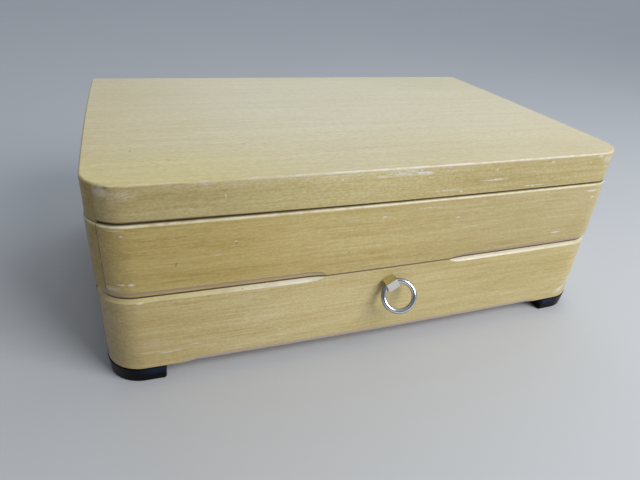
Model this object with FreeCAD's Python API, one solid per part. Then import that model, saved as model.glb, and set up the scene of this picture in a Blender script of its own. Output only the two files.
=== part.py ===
import FreeCAD, Part
import math
import os

os.makedirs("parts", exist_ok=True)
V = FreeCAD.Vector

# ------------------------------------------------------------------ driving dimensions (mm)
# overall case
WIDTH = 320.0          # side to side, measured at the corners
DEPTH = 208.0          # front to back, measured at the corners
HEIGHT = 119.3         # feet to lid top
FRONT_BOW = 2.2        # the front swells forward this much at its middle
SIDE_BOW = 1.3         # each side swells outward this much at its middle
CORNER_R = 20.0        # plan radius of the front corners
BACK_R = 4.0           # plan radius of the back corners
BOARD = 10.0           # front and side board thickness at the corners
BACK_BOARD = 12.0      # back board thickness

# levels
FOOT_H = 9.3
Z_CASE = FOOT_H        # underside of the fixed case
Z_DRAWER0 = 9.7        # underside of the drawer front
Z_JOINT = 56.6         # joint between drawer front and case front
JOINT_GAP = 0.9
Z_RIM = 98.6           # top edge of the case
LID_GAP = 0.3          # lid rails above the rim
FINGER_GAP = 1.15      # slot below the lid's front rail
VENEER = 0.8
EASE = 0.8             # rounding of the exposed long edges
LID_INSET = 0.65       # the lid is this much smaller than the case all round
DRAWER_INSET = 0.36    # the drawer front stands back this much from the case

# shadow groove, one cove on the case and one on the drawer front
GROOVE_R = 4.4
GROOVE_DEPTH = 1.4
CASE_COVE_Z = 57.0     # level of the cove's deepest line on the case
CASE_COVE_LEAN = 0.5   # it is this much higher at the left and lower at the right
DRAWER_COVE_Z = 57.0   # and on the drawer front
GROOVE_RUN = 10.0      # the groove runs out to nothing over this length
GROOVE_END = 41.0      # half length of the plain joint in the middle of the front
GROOVE_MID = 1.0       # that plain stretch is centred a little right of the middle
# stopped bevel under the drawer front
BEVEL_H = 2.8
BEVEL_D = 1.2
BEVEL_END = 123.0      # where its run-out ramps reach the surface
BEVEL_RAMP = 9.0

# lid
LID_WALL_CLEAR = 0.6   # lid rails stand back from the raised lining lip
LID_CORE = 5.0
MIRROR_X, MIRROR_Y, MIRROR_T = 232.0, 130.0, 3.0
LID_LINING_T = 3.5

# case inside
FLOOR_Z, FLOOR_T = 58.4, 4.0
BOTTOM_T = 4.0
DADO = 4.0
PANEL_R = 12.0         # corner radius of the let-in panels
LINING_T = 2.0
LIP = 1.4              # lining stands this far above the rim
DIVIDER_T = 3.0
DIVIDER_TOP = 90.2
ROLL_N = 4
ROLL_TOP = 84.8

# drawer
FRONT_BACK_Y = -84.0   # back face of the drawer front
DRAWER_CLEAR = 1.3     # each side
DRAWER_BOARD = 7.0
DRAWER_Z0 = 13.7
DRAWER_TOP = 53.9
DRAWER_BACK_TOP = 55.8
DRAWER_END_Y = 84.0
DRAWER_PLY = 3.0
DRAWER_LAP = 8.0
DRAWER_LINING_T = 1.5
DRAWER_LINING_TOP = 51.9
DRAWER_DIVIDER_TOP = 47.4
STOP_Y = (-60.0, -52.0)
STOP_Z0 = 54.4

# feet
FOOT_X = 30.6          # along the front
FOOT_Y = 50.0          # along the side
FOOT_IN_R = 1.6
FOOT_TAPER = 0.955
FOOT_SCREW_Z = 4.7     # level of the screw heads inside the feet

# hinges
HINGE_X = 95.0
HINGE_L = 30.0
HINGE_Y = 100.0
LEAF_T = 1.0
KNUCKLE_R = 2.0
PIN_R = 1.0
STOP_BEVEL = 52.0      # degrees, on the lid and on the case

# ring pull
PULL_X = 1.7           # the stud is a little off the middle
PULL_Z = 47.1          # height of the stud
PULL_TURN = 29.0       # degrees the loop is turned on its stud at rest
LOOP_W, LOOP_H, LOOP_OUT, LOOP_T = 7.4, 6.9, 5.9, 0.6
STUD_R = 1.4
RING_RM, RING_R = 9.2, 1.6
RING_SWING = 33.9      # degrees out from hanging at rest
RING_V = 0.0           # ring's turning point above the stud, along the loop
RING_N = 2.55          # and out from the front face

# The plan origin is the middle of the overall footprint, ring pull included.
Y_SHIFT = 8.0

# ------------------------------------------------------------------ plan outline
HW, HD = WIDTH / 2.0, DEPTH / 2.0
RF = (HW * HW + FRONT_BOW * FRONT_BOW) / (2 * FRONT_BOW)
RS = (HD * HD + SIDE_BOW * SIDE_BOW) / (2 * SIDE_BOW)
CF = V(0, -HD - FRONT_BOW + RF, 0)
CL = V(-HW - SIDE_BOW + RS, 0, 0)
CR = V(-CL.x, 0, 0)


def meet(c1, r1, c2, r2, near):
    """The crossing of two circles that lies nearest to a point."""
    d = c2.sub(c1)
    length = d.Length
    a = (r1 * r1 - r2 * r2 + length * length) / (2 * length)
    h = math.sqrt(max(r1 * r1 - a * a, 0.0))
    m = c1.add(V(d.x * a / length, d.y * a / length, 0))
    n = V(-d.y / length, d.x / length, 0)
    options = [m.add(V(n.x * h, n.y * h, 0)), m.sub(V(n.x * h, n.y * h, 0))]
    return min(options, key=lambda p: p.sub(near).Length)


CCL = meet(CF, RF - CORNER_R, CL, RS - CORNER_R, V(-HW + CORNER_R, -HD + CORNER_R, 0))
CCR = V(-CCL.x, CCL.y, 0)
CBL = V(CL.x - math.sqrt((RS - BACK_R) ** 2 - (HD - BACK_R) ** 2), HD - BACK_R, 0)
CBR = V(-CBL.x, CBL.y, 0)


def on(c, r, toward):
    """The point of a circle in line with another centre."""
    d = toward.sub(c)
    return V(c.x + d.x / d.Length * r, c.y + d.y / d.Length * r, 0)


def up(p, z):
    return V(p.x, p.y, z)


def outline(z, t=0.0):
    """The closed plan outline at a level, moved inward by t."""
    rf, rs, rc, rb, yb = RF - t, RS - t, CORNER_R - t, BACK_R - t, HD - t
    fl, fr = on(CF, rf, CCL), on(CF, rf, CCR)
    sl, sr = on(CL, rs, CCL), on(CR, rs, CCR)
    bl, br = on(CL, rs, CBL), on(CR, rs, CBR)
    kl, kr = V(CBL.x, yb, 0), V(CBR.x, yb, 0)

    def mid(c, r, p, q):
        m = V((p.x + q.x) / 2, (p.y + q.y) / 2, 0)
        d = m.sub(c)
        return V(c.x + d.x / d.Length * r, c.y + d.y / d.Length * r, 0)

    def arc(p, m, q):
        return Part.Arc(up(p, z), up(m, z), up(q, z)).toShape()

    edges = [
        arc(fl, V(0, CF.y - rf, 0), fr),
        arc(fr, mid(CCR, rc, fr, sr), sr),
        arc(sr, V(CR.x + rs, 0, 0), br),
        arc(br, mid(CBR, rb, br, kr), kr),
        Part.LineSegment(up(kr, z), up(kl, z)).toShape(),
        arc(kl, mid(CBL, rb, kl, bl), bl),
        arc(bl, V(CL.x - rs, 0, 0), sl),
        arc(sl, mid(CCL, rc, sl, fl), fl),
    ]
    return Part.Wire(edges)


def block(z0, z1, ease_top=0.0, ease_bottom=0.0, inset=0.0):
    """A solid of the plan outline between two levels, with its long edges eased."""
    s = Part.Face(outline(z0, inset)).extrude(V(0, 0, z1 - z0))
    for z, r in ((z1, ease_top), (z0, ease_bottom)):
        if r > 0:
            picks = [e for e in s.Edges if abs(e.BoundBox.ZMin - z) < 1e-4 and abs(e.BoundBox.ZMax - z) < 1e-4]
            s = s.makeFillet(r, picks)
    return s


# ------------------------------------------------------------------ small helpers
def box(x0, x1, y0, y1, z0, z1):
    return Part.makeBox(x1 - x0, y1 - y0, z1 - z0, V(x0, y0, z0))


def prism(points, z0, z1):
    """A vertical prism on a plan polygon."""
    w = Part.makePolygon([V(x, y, z0) for x, y in points] + [V(points[0][0], points[0][1], z0)])
    return Part.Face(w).extrude(V(0, 0, z1 - z0))


def bar(points, x0, x1):
    """A bar along X on a section given in Y and Z."""
    w = Part.makePolygon([V(x0, y, z) for y, z in points] + [V(x0, points[0][0], points[0][1])])
    return Part.Face(w).extrude(V(x1 - x0, 0, 0))


def round_panel(x0, x1, y0, y1, z0, z1, r, front_only=False):
    s = box(x0, x1, y0, y1, z0, z1)
    picks = []
    for e in s.Edges:
        b = e.BoundBox
        if b.ZLength > 0.5 * (z1 - z0) and b.XLength < 1e-6 and b.YLength < 1e-6:
            if not front_only or b.YMin < (y0 + y1) / 2:
                picks.append(e)
    return s.makeFillet(r, picks)


def cyl(r, length, at, along):
    return Part.makeCylinder(r, length, at, along)


def carve(s, tools):
    """Cuts one tool after another, and stops if a cut takes away the wrong amount."""
    for t in tools:
        want = s.Volume - s.common(t).Volume
        s = s.cut(t)
        if not s.isValid() or abs(s.Volume - want) > 0.5:
            raise ValueError("a cut went wrong: volume %.2f, wanted %.2f, valid %s" % (s.Volume, want, s.isValid()))
    return s


def mirror_x(s):
    return s.mirror(V(0, 0, 0), V(1, 0, 0))


def mirror_y(s):
    return s.mirror(V(0, 0, 0), V(0, 1, 0))


def screw(at, along, head_r, head_h, shank_r, length):
    """A countersunk wood screw: flat head at the given point, shank along the direction."""
    head = Part.makeCone(head_r, shank_r, head_h, at, along)
    d = V(along).normalize()
    tip = shank_r * 1.6
    shank = cyl(shank_r, length - head_h - tip, at.add(V(d).multiply(head_h)), along)
    point = Part.makeCone(shank_r, 0.15, tip, at.add(V(d).multiply(length - tip)), along)
    return head.fuse([shank, point]).removeSplitter()


def screw_hole(at, along, head_r, head_h, shank_r, length, play=0.06):
    d = V(along).normalize()
    head = Part.makeCone(head_r + play, shank_r + play, head_h, at, along)
    above = cyl(head_r + play, 1.0, at.sub(V(d)), along)
    shank = cyl(shank_r + play, length + 0.3 - head_h, at.add(V(d).multiply(head_h)), along)
    return head.fuse([shank, above])


nodes = {}


def put(name, shape):
    s = shape.copy()
    s.translate(V(0, Y_SHIFT, 0))
    nodes[name] = s


# ------------------------------------------------------------------ plan regions for the mitred boards
XI, YF, YB = HW - BOARD, -HD + BOARD, HD - BACK_BOARD


def regions(xi, yf, yb, z0, z1):
    """Front, back, left and right boards, parted by mitres through the corners."""
    bx, by = (HW - xi) * 3.0, (HD - yb) * 3.0
    front = prism([(-xi, yf), (-xi - 40, yf - 40), (xi + 40, yf - 40), (xi, yf)], z0, z1)
    back = prism([(-xi, yb), (xi, yb), (xi + bx, yb + by), (-xi - bx, yb + by)], z0, z1)
    left = prism([(-xi, yf), (-xi, yb), (-xi - bx, yb + by), (-xi - 60, yb + by), (-xi - 60, yf - 60)], z0, z1)
    return front, back, left, mirror_x(left)


# ------------------------------------------------------------------ cutters
def groove(level, inset, y_end, lean=0.0):
    """A round-bottomed cove: a ball track that follows the front, the corner and the side, at each hand,
    and swings out of the front at its inner end."""
    e = GROOVE_R - GROOVE_DEPTH - inset
    swing = (GROOVE_RUN ** 2 + GROOVE_DEPTH ** 2) / (2 * GROOVE_DEPTH)
    tools = []

    def ring(c, r, z, a0, a1, side=-1.0):
        out = V(math.cos(a0), math.sin(a0), 0)
        at = V(c.x + r * out.x, c.y + r * out.y, z)
        rise = V(0, 0, GROOVE_R)
        half = Part.Arc(at.add(rise), at.add(V(out).multiply(side * GROOVE_R)), at.sub(rise)).toShape()
        back = Part.LineSegment(at.sub(rise), at.add(rise)).toShape()
        face = Part.Face(Part.Wire([half, back]))
        return face.revolve(V(c.x, c.y, z), V(0, 0, 1), math.degrees(a1 - a0))

    tf, ts = CCL.sub(CF), CCL.sub(CL)
    tilt_f = math.asin(-tf.x / tf.Length)          # where the front ends, from straight ahead
    tilt_s = math.asin(-ts.y / ts.Length)          # where the side ends, from straight aside
    end_s = math.asin(-y_end / (RS + e))
    ahead = -math.pi / 2
    for h, cc, cs, aside in ((-1, CCL, CL, -math.pi), (1, CCR, CR, 0.0)):
        end = GROOVE_END + GROOVE_RUN + h * GROOVE_MID
        z = level - h * lean
        start = ahead + h * math.asin(end / (RF + e))
        tools.append(ring(CF, RF + e, z, start, ahead + h * tilt_f))
        tools.append(ring(cc, CORNER_R + e, z, ahead + h * tilt_f, aside - h * tilt_s))
        tools.append(ring(cs, RS + e, z, aside - h * tilt_s, aside - h * end_s))
        far = RF + e + swing
        pivot = V(CF.x + far * math.cos(start), CF.y + far * math.sin(start), 0)
        tools.append(ring(pivot, swing, z, start + math.pi, start + math.pi + h * 1.15 * GROOVE_RUN / swing, 1.0))
    return tools


CASE_COVE = groove(CASE_COVE_Z, 0.0, HD + 8.0, CASE_COVE_LEAN)
DRAWER_COVE = groove(DRAWER_COVE_Z, DRAWER_INSET, -HD + 40.0)


def front_y(x, inset=0.0):
    return CF.y - math.sqrt((RF - inset) ** 2 - x * x)


def bevel():
    """The stopped bevel under the drawer front, run out at both ends."""
    z = Z_DRAWER0

    def section(x, k):
        y = front_y(x, DRAWER_INSET)
        return Part.makePolygon([
            V(x, y - 1.0, z + BEVEL_H * k + 1.0 * BEVEL_H / BEVEL_D),
            V(x, y + BEVEL_D * k + 1.0 * BEVEL_D / BEVEL_H, z - 1.0),
            V(x, y - 1.0, z - 1.0),
            V(x, y - 1.0, z + BEVEL_H * k + 1.0 * BEVEL_H / BEVEL_D)])

    xs = [-BEVEL_END, -BEVEL_END + BEVEL_RAMP, -60, 0, 60, BEVEL_END - BEVEL_RAMP, BEVEL_END]
    ks = [0.0, 1.0, 1.0, 1.0, 1.0, 1.0, 0.0]
    out = []
    for i in range(len(xs) - 1):
        out.append(Part.makeLoft([section(xs[i], ks[i]), section(xs[i + 1], ks[i + 1])], True, True))
    return out


# behind the hinge line both back edges fall away, so that the open lid leans on the case
rise = 6.0 * math.tan(math.radians(STOP_BEVEL))
Z_LID = Z_RIM + LID_GAP
Z_AXIS = Z_RIM + LID_GAP / 2.0
CASE_WEDGE = bar([(HINGE_Y, Z_RIM), (HINGE_Y + 6.0, Z_RIM - rise), (HINGE_Y + 6.0, Z_RIM + 2), (HINGE_Y, Z_RIM + 2)], -HW - 10, HW + 10)
LID_WEDGE = bar([(HINGE_Y, Z_LID), (HINGE_Y + 6.0, Z_LID + rise), (HINGE_Y + 6.0, Z_LID - 2), (HINGE_Y, Z_LID - 2)], -HW - 10, HW + 10)

# ------------------------------------------------------------------ hinges
LEAF_Y0 = YB + 1.2
K_GAP = 0.3
SEG = HINGE_L / 3.0
CASE_LEAF_Z = (Z_AXIS - 0.1 - LEAF_T, Z_AXIS - 0.1)
LID_LEAF_Z = (Z_AXIS + 0.1, Z_AXIS + 0.1 + LEAF_T)
HINGE_SCREW = dict(head_r=1.8, head_h=0.85, shank_r=0.9, length=9.0)
case_cuts, lid_cuts = [], []
leaf_case, leaf_lid, pins, screws_case, screws_lid = {}, {}, {}, [], []
for side, hx in (("left", -HINGE_X), ("right", HINGE_X)):
    xa, xb = hx - HINGE_L / 2, hx + HINGE_L / 2
    outer = [(xa, xa + SEG - K_GAP / 2), (xb - SEG + K_GAP / 2, xb)]
    inner = [(xa + SEG + K_GAP / 2, xb - SEG - K_GAP / 2)]
    clear_y = HINGE_Y - KNUCKLE_R - 0.4

    def leaf(z0, z1, spans, bore):
        s = box(xa, xb, LEAF_Y0, clear_y, z0, z1)
        for a, b in spans:
            s = s.fuse(box(a, b, clear_y - 0.5, HINGE_Y, z0, z1))
            s = s.fuse(cyl(KNUCKLE_R, b - a, V(a, HINGE_Y, Z_AXIS), V(1, 0, 0)))
        return s.cut(cyl(bore, HINGE_L + 4, V(xa - 2, HINGE_Y, Z_AXIS), V(1, 0, 0))).removeSplitter()

    low = leaf(CASE_LEAF_Z[0], CASE_LEAF_Z[1], outer, PIN_R + 0.02)
    high = leaf(LID_LEAF_Z[0], LID_LEAF_Z[1], inner, PIN_R + 0.05)
    for dx in (-10.0, 10.0):
        a = V(hx + dx, LEAF_Y0 + 2.4, CASE_LEAF_Z[1] - 0.03)
        b = V(hx + dx, LEAF_Y0 + 2.4, LID_LEAF_Z[0] + 0.03)
        screws_case.append(screw(a, V(0, 0, -1), **HINGE_SCREW))
        screws_lid.append(screw(b, V(0, 0, 1), **HINGE_SCREW))
        hole_a, hole_b = screw_hole(a, V(0, 0, -1), **HINGE_SCREW), screw_hole(b, V(0, 0, 1), **HINGE_SCREW)
        low, high = low.cut(hole_a), high.cut(hole_b)
        case_cuts.append(hole_a)
        lid_cuts.append(hole_b)
    leaf_case[side], leaf_lid[side] = low, high
    pins[side] = cyl(PIN_R, HINGE_L + 0.6, V(xa - 0.3, HINGE_Y, Z_AXIS), V(1, 0, 0))
    relief = cyl(KNUCKLE_R + 0.5, HINGE_L + 1.6, V(xa - 0.8, HINGE_Y, Z_AXIS), V(1, 0, 0))
    case_cuts += [relief, box(xa - 0.2, xb + 0.2, LEAF_Y0 - 0.1, HINGE_Y, CASE_LEAF_Z[0] - 0.02, Z_RIM + 1)]
    lid_cuts += [relief, box(xa - 0.2, xb + 0.2, LEAF_Y0 - 0.1, HINGE_Y, Z_LID - 1, LID_LEAF_Z[1] + 0.02)]

# ------------------------------------------------------------------ lid
Z_TOP = HEIGHT
Z_VENEER = Z_TOP - VENEER
lid_block = block(Z_LID, Z_TOP, ease_top=1.0, ease_bottom=0.5, inset=LID_INSET)
lx, lf, lb = XI + LID_WALL_CLEAR, YF - LID_WALL_CLEAR, YB + LID_WALL_CLEAR
core_z = Z_VENEER - LID_CORE
core = round_panel(-lx - 4.4, lx + 4.4, lf - 4.4, lb + 5.0, core_z, Z_VENEER, PANEL_R)
under = lid_block.common(box(-HW - 5, HW + 5, -HD - 5, HD + 5, Z_LID - 1, Z_VENEER))
parts4 = regions(lx, lf, lb, Z_LID - 1, Z_TOP + 1)
slot = prism([(-lx, lf), (-lx - 40, lf - 40), (lx + 40, lf - 40), (lx, lf)], Z_LID - 1, Z_RIM + FINGER_GAP)
front_rail = carve(under.common(parts4[0]), [core, slot])
ease = [e for e in front_rail.Edges
        if abs(e.BoundBox.ZMin - (Z_RIM + FINGER_GAP)) < 1e-4 and abs(e.BoundBox.ZMax - (Z_RIM + FINGER_GAP)) < 1e-4
        and e.BoundBox.XLength > 200 and e.BoundBox.YMin < -HD + 1.5]
front_rail = front_rail.makeFillet(0.5, ease) if ease else front_rail
back_rail = carve(under.common(parts4[1]), [core, LID_WEDGE] + lid_cuts)
left_rail = carve(under.common(parts4[2]), [core, LID_WEDGE])
right_rail = carve(under.common(parts4[3]), [core, LID_WEDGE])
put("lid_front_rail", front_rail)
put("lid_back_rail", back_rail)
put("lid_left_rail", left_rail)
put("lid_right_rail", right_rail)
put("lid_core_panel", core)
put("lid_top_veneer", lid_block.common(box(-HW - 5, HW + 5, -HD - 5, HD + 5, Z_VENEER, Z_TOP + 1)))
mx, my = MIRROR_X / 2, MIRROR_Y / 2
my0 = (lf + lb) / 2
put("lid_mirror", box(-mx, mx, my0 - my, my0 + my, core_z - MIRROR_T, core_z))
put("lid_lining", box(-lx + 0.2, lx - 0.2, lf + 0.2, lb - 0.2, core_z - LID_LINING_T, core_z).cut(
    box(-mx - 0.15, mx + 0.15, my0 - my - 0.15, my0 + my + 0.15, core_z - LID_LINING_T - 1, core_z + 1)))

# ------------------------------------------------------------------ case
upper = block(Z_CASE, Z_RIM, ease_top=EASE, ease_bottom=0.5)
cz0 = Z_JOINT + JOINT_GAP / 2
floor = round_panel(-XI - DADO, XI + DADO, YF - DADO, YB + DADO, FLOOR_Z, FLOOR_Z + FLOOR_T, PANEL_R, front_only=True)
SIDE_FRONT_Y = FRONT_BACK_Y + 0.4
bottom = box(-XI - DADO, XI + DADO, SIDE_FRONT_Y, YB + DADO, Z_CASE, Z_CASE + BOTTOM_T)
r4 = regions(XI, YF, YB, Z_CASE - 1, Z_RIM + 1)
front = carve(upper.common(r4[0]), [box(-HW - 9, HW + 9, -HD - 9, YF + 9, 0, cz0), floor] + CASE_COVE)
back = carve(upper.common(r4[1]), [floor, bottom, CASE_WEDGE] + case_cuts)
notch = box(-HW - 9, HW + 9, -HD - 9, SIDE_FRONT_Y, 0, cz0)
left = carve(upper.common(r4[2]), [notch, floor, bottom, CASE_WEDGE] + CASE_COVE)
right = carve(upper.common(r4[3]), [notch, floor, bottom, CASE_WEDGE] + CASE_COVE)

# ------------------------------------------------------------------ feet
FOOT_SCREW = dict(head_r=3.0, head_h=1.8, shank_r=1.5, length=8.4)
foot_screws, foot_holes = [], []


def foot(rear):
    base = block(0, FOOT_H)
    if rear:
        y0, y1 = HD - FOOT_Y, HD + 5
    else:
        y0, y1 = -HD - 5, -HD + FOOT_Y
    s = base.common(box(-HW - 5, -HW + FOOT_X, y0, y1, 0, FOOT_H))
    picks, small = [], []
    for e in s.Edges:
        b = e.BoundBox
        if b.ZLength > FOOT_H * 0.9 and b.XLength < 1e-4 and b.YLength < 1e-4:
            inner_x = abs(b.XMin - (-HW + FOOT_X)) < 1e-3
            end_y = b.YMin > -HD + FOOT_Y - 1e-3 if not rear else b.YMin < HD - FOOT_Y + 1e-3
            if inner_x and not end_y:
                picks.append(e)
            elif end_y:
                small.append(e)
    s = s.makeFillet(FOOT_IN_R, picks)
    small = [e for e in s.Edges if e.BoundBox.ZLength > FOOT_H * 0.9 and e.BoundBox.XLength < 1e-4 and e.BoundBox.YLength < 1e-4
             and (abs(e.BoundBox.YMin - (-HD + FOOT_Y)) < 1e-3 if not rear else abs(e.BoundBox.YMin - (HD - FOOT_Y)) < 1e-3)]
    s = s.makeFillet(4.0, small)
    top = [f for f in s.Faces if abs(f.BoundBox.ZMin - FOOT_H) < 1e-4][0].OuterWire
    low = top.copy()
    c = top.BoundBox.Center
    low.scale(FOOT_TAPER, V(c.x, c.y, FOOT_H))
    low.translate(V(0, 0, -FOOT_H))
    s = Part.makeLoft([top, low], True, True)
    rim = [e for e in s.Edges if abs(e.BoundBox.ZMin) < 1e-4 and abs(e.BoundBox.ZMax) < 1e-4]
    try:
        eased = s.makeFillet(0.8, rim)
        if eased.isValid() and eased.Volume > 0.9 * s.Volume:
            s = eased
    except Exception:
        pass
    holes = []
    sgn = -1 if rear else 1
    for dy in (28.0, 42.0):
        at = V(-HW + 16.0, sgn * (-HD + dy), FOOT_SCREW_Z)
        foot_screws.append(screw(at, V(0, 0, 1), **FOOT_SCREW))
        hole = screw_hole(at, V(0, 0, 1), **FOOT_SCREW)
        foot_holes.append(hole)
        holes += [hole, cyl(3.3, FOOT_SCREW_Z + 0.2, V(at.x, at.y, -0.2), V(0, 0, 1))]
    return carve(s, holes)


foot_fl, foot_bl = foot(False), foot(True)
put("foot_front_left", foot_fl)
put("foot_front_right", mirror_x(foot_fl))
put("foot_back_left", foot_bl)
put("foot_back_right", mirror_x(foot_bl))
put("foot_screws", Part.makeCompound(foot_screws + [mirror_x(s) for s in foot_screws]))
all_holes = foot_holes + [mirror_x(h) for h in foot_holes]
bottom = carve(bottom, all_holes)

put("case_front", front)
put("case_back", back)
put("case_side_left", left)
put("case_side_right", right)
put("compartment_floor", floor)
put("bottom_panel", bottom)
put("drawer_stop", box(-55, 55, STOP_Y[0], STOP_Y[1], STOP_Z0, FLOOR_Z))

# linings of the upper compartment
fz = FLOOR_Z + FLOOR_T
lz = Z_RIM + LIP
put("lining_front", box(-XI, XI, YF, YF + LINING_T, fz, lz))
put("lining_back", box(-XI, XI, YB - LINING_T, YB, fz, lz))
put("lining_left", box(-XI, -XI + LINING_T, YF + LINING_T, YB - LINING_T, fz, lz))
put("lining_right", box(XI - LINING_T, XI, YF + LINING_T, YB - LINING_T, fz, lz))
ix, iy0, iy1 = XI - LINING_T, YF + LINING_T, YB - LINING_T
pz = fz + LINING_T
put("compartment_pad", box(-ix, ix, iy0, iy1, fz, pz))
DIV_Y = -28.0
DIV_X = 20.0
put("divider_long", box(-ix, ix, DIV_Y, DIV_Y + DIVIDER_T, pz, DIVIDER_TOP))
put("divider_front", box(DIV_X, DIV_X + DIVIDER_T, iy0, DIV_Y, pz, DIVIDER_TOP))
put("divider_back_left", box(-50 - DIVIDER_T / 2, -50 + DIVIDER_T / 2, DIV_Y + DIVIDER_T, iy1, pz, DIVIDER_TOP))
put("divider_back_right", box(50 - DIVIDER_T / 2, 50 + DIVIDER_T / 2, DIV_Y + DIVIDER_T, iy1, pz, DIVIDER_TOP))
rolls = []
pitch = (DIV_Y - iy0) / ROLL_N
for i in range(ROLL_N):
    a = iy0 + i * pitch + 0.3
    b = iy0 + (i + 1) * pitch - 0.3
    r = box(-ix + 0.3, DIV_X - 0.3, a, b, pz, ROLL_TOP)
    picks = [e for e in r.Edges if abs(e.BoundBox.ZMin - ROLL_TOP) < 1e-6 and e.BoundBox.XLength > 50]
    rolls.append(r.makeFillet(pitch * 0.42, picks))
put("ring_rolls", Part.makeCompound(rolls))

for side in ("left", "right"):
    put("hinge_case_leaf_" + side, leaf_case[side])
    put("hinge_lid_leaf_" + side, leaf_lid[side])
    put("hinge_pin_" + side, pins[side])
put("hinge_case_screws", Part.makeCompound(screws_case))
put("hinge_lid_screws", Part.makeCompound(screws_lid))

# ------------------------------------------------------------------ drawer
dz1 = Z_JOINT - JOINT_GAP / 2
drawer_block = block(Z_DRAWER0, dz1, ease_bottom=0.4, inset=DRAWER_INSET)
d_out = XI - DRAWER_CLEAR
d_in = d_out - DRAWER_BOARD
lap_y = FRONT_BACK_Y - DRAWER_LAP
ply_z = DRAWER_Z0 + 1.5
side_l = box(-d_out, -d_in, lap_y, DRAWER_END_Y, DRAWER_Z0, DRAWER_TOP)
ply = box(-d_in - 3.5, d_in + 3.5, FRONT_BACK_Y - 4.0, DRAWER_END_Y, ply_z, ply_z + DRAWER_PLY)
back_y0 = DRAWER_END_Y - DRAWER_BOARD
dr_back = box(-d_in, d_in, back_y0, DRAWER_END_Y, ply_z + DRAWER_PLY, DRAWER_BACK_TOP)
stud_bore = cyl(STUD_R + 0.1, 40, V(PULL_X, -HD - 12, PULL_Z), V(0, 1, 0))
cb_depth = 6.0
counterbore = cyl(6.5, cb_depth + 1, V(PULL_X, FRONT_BACK_Y - cb_depth, PULL_Z), V(0, 1, 0))
front_board = drawer_block.common(box(-HW - 5, HW + 5, -HD - 9, FRONT_BACK_Y, 0, Z_JOINT))
front_board = carve(front_board, DRAWER_COVE + bevel() + [side_l, mirror_x(side_l), ply, stud_bore, counterbore])
put("drawer_front", front_board)
put("drawer_side_left", side_l.cut(ply))
put("drawer_side_right", mirror_x(side_l.cut(ply)))
put("drawer_back", dr_back)
put("drawer_bottom", ply)
lt = DRAWER_LINING_T
dlz = ply_z + DRAWER_PLY
wall = box(-d_in, d_in, FRONT_BACK_Y, back_y0, dlz, DRAWER_LINING_TOP).cut(
    box(-d_in + lt, d_in - lt, FRONT_BACK_Y + lt, back_y0 - lt, dlz - 1, 60))
put("drawer_wall_lining", wall)
dx, dy0, dy1 = d_in - lt, FRONT_BACK_Y + lt, back_y0 - lt
put("drawer_pad", box(-dx, dx, dy0, dy1, dlz, dlz + 2.0))
dtop = DRAWER_DIVIDER_TOP
put("drawer_divider_long", box(-dx, dx, -6, -6 + DIVIDER_T, dlz + 2.0, dtop))
put("drawer_divider_left", box(-48, -48 + DIVIDER_T, -6 + DIVIDER_T, dy1, dlz + 2.0, dtop))
put("drawer_divider_right", box(48 - DIVIDER_T, 48, -6 + DIVIDER_T, dy1, dlz + 2.0, dtop))

# ------------------------------------------------------------------ ring pull
# local frame of the turned loop: u along its width, v up it, n straight out of the front
FACE_Y = -HD - FRONT_BOW + DRAWER_INSET
a = math.radians(PULL_TURN)
U, W_, N = V(math.cos(a), 0, math.sin(a)), V(-math.sin(a), 0, math.cos(a)), V(0, -1, 0)
O = V(PULL_X, FACE_Y, PULL_Z)


def turned(s):
    """From local (u, v, n) to the case: u to X, v to Z, n to -Y, turned on the stud."""
    s = s.copy()
    s.rotate(V(0, 0, 0), V(1, 0, 0), 90)
    s.rotate(V(0, 0, 0), V(0, 1, 0), -PULL_TURN)
    s.translate(O)
    return s


gap = 0.15     # the loop turns just clear of the wood
outer_loop = box(-LOOP_W / 2, LOOP_W / 2, -LOOP_H / 2, LOOP_H / 2, gap, LOOP_OUT)
corner_edges = [e for e in outer_loop.Edges if e.BoundBox.XLength > LOOP_W * 0.9]
outer_loop = outer_loop.makeFillet(0.5, corner_edges)
tunnel = box(-LOOP_W, LOOP_W, -LOOP_H / 2 + LOOP_T, LOOP_H / 2 - LOOP_T, gap + LOOP_T - 0.05, LOOP_OUT - LOOP_T)
loop = outer_loop.cut([tunnel, cyl(STUD_R + 0.01, 3.0, V(0, 0, -1), V(0, 0, 1))])
# the stud: flush in the loop's back plate, threaded end inside the counterbore
stud_len = -FRONT_BACK_Y + FACE_Y   # from the front face back to the drawer front's back face
stud = cyl(STUD_R, abs(stud_len) - 0.8 + gap + LOOP_T - 0.05, V(0, 0, -(abs(stud_len) - 0.8)), V(0, 0, 1))
wz = -(abs(stud_len) - cb_depth) - 0.15        # washer's outer face, just clear of the counterbore's floor
washer = cyl(5.0, 0.8, V(0, 0, wz - 0.8), V(0, 0, 1)).cut(cyl(STUD_R + 0.05, 3, V(0, 0, wz - 2), V(0, 0, 1)))
hexw = Part.makePolygon([V(3.1 * math.cos(math.radians(60 * i)), 3.1 * math.sin(math.radians(60 * i)), wz - 0.8 - 2.4) for i in range(7)])
nut = Part.Face(hexw).extrude(V(0, 0, 2.4)).cut(cyl(STUD_R + 0.02, 4, V(0, 0, wz - 4.2), V(0, 0, 1)))
put("pull_loop", turned(loop))
put("pull_stud", turned(stud))
put("pull_washer", turned(washer))
put("pull_nut", turned(nut))
th = math.radians(RING_SWING)
H_ = V(W_).multiply(-math.cos(th)).add(V(N).multiply(math.sin(th)))
T_ = O.add(V(W_).multiply(RING_V)).add(V(N).multiply(RING_N))
C_ = T_.add(V(H_).multiply(RING_RM))
ring_pull = Part.makeTorus(RING_RM, RING_R, C_, U.cross(H_))
put("ring_pull", ring_pull)

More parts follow.
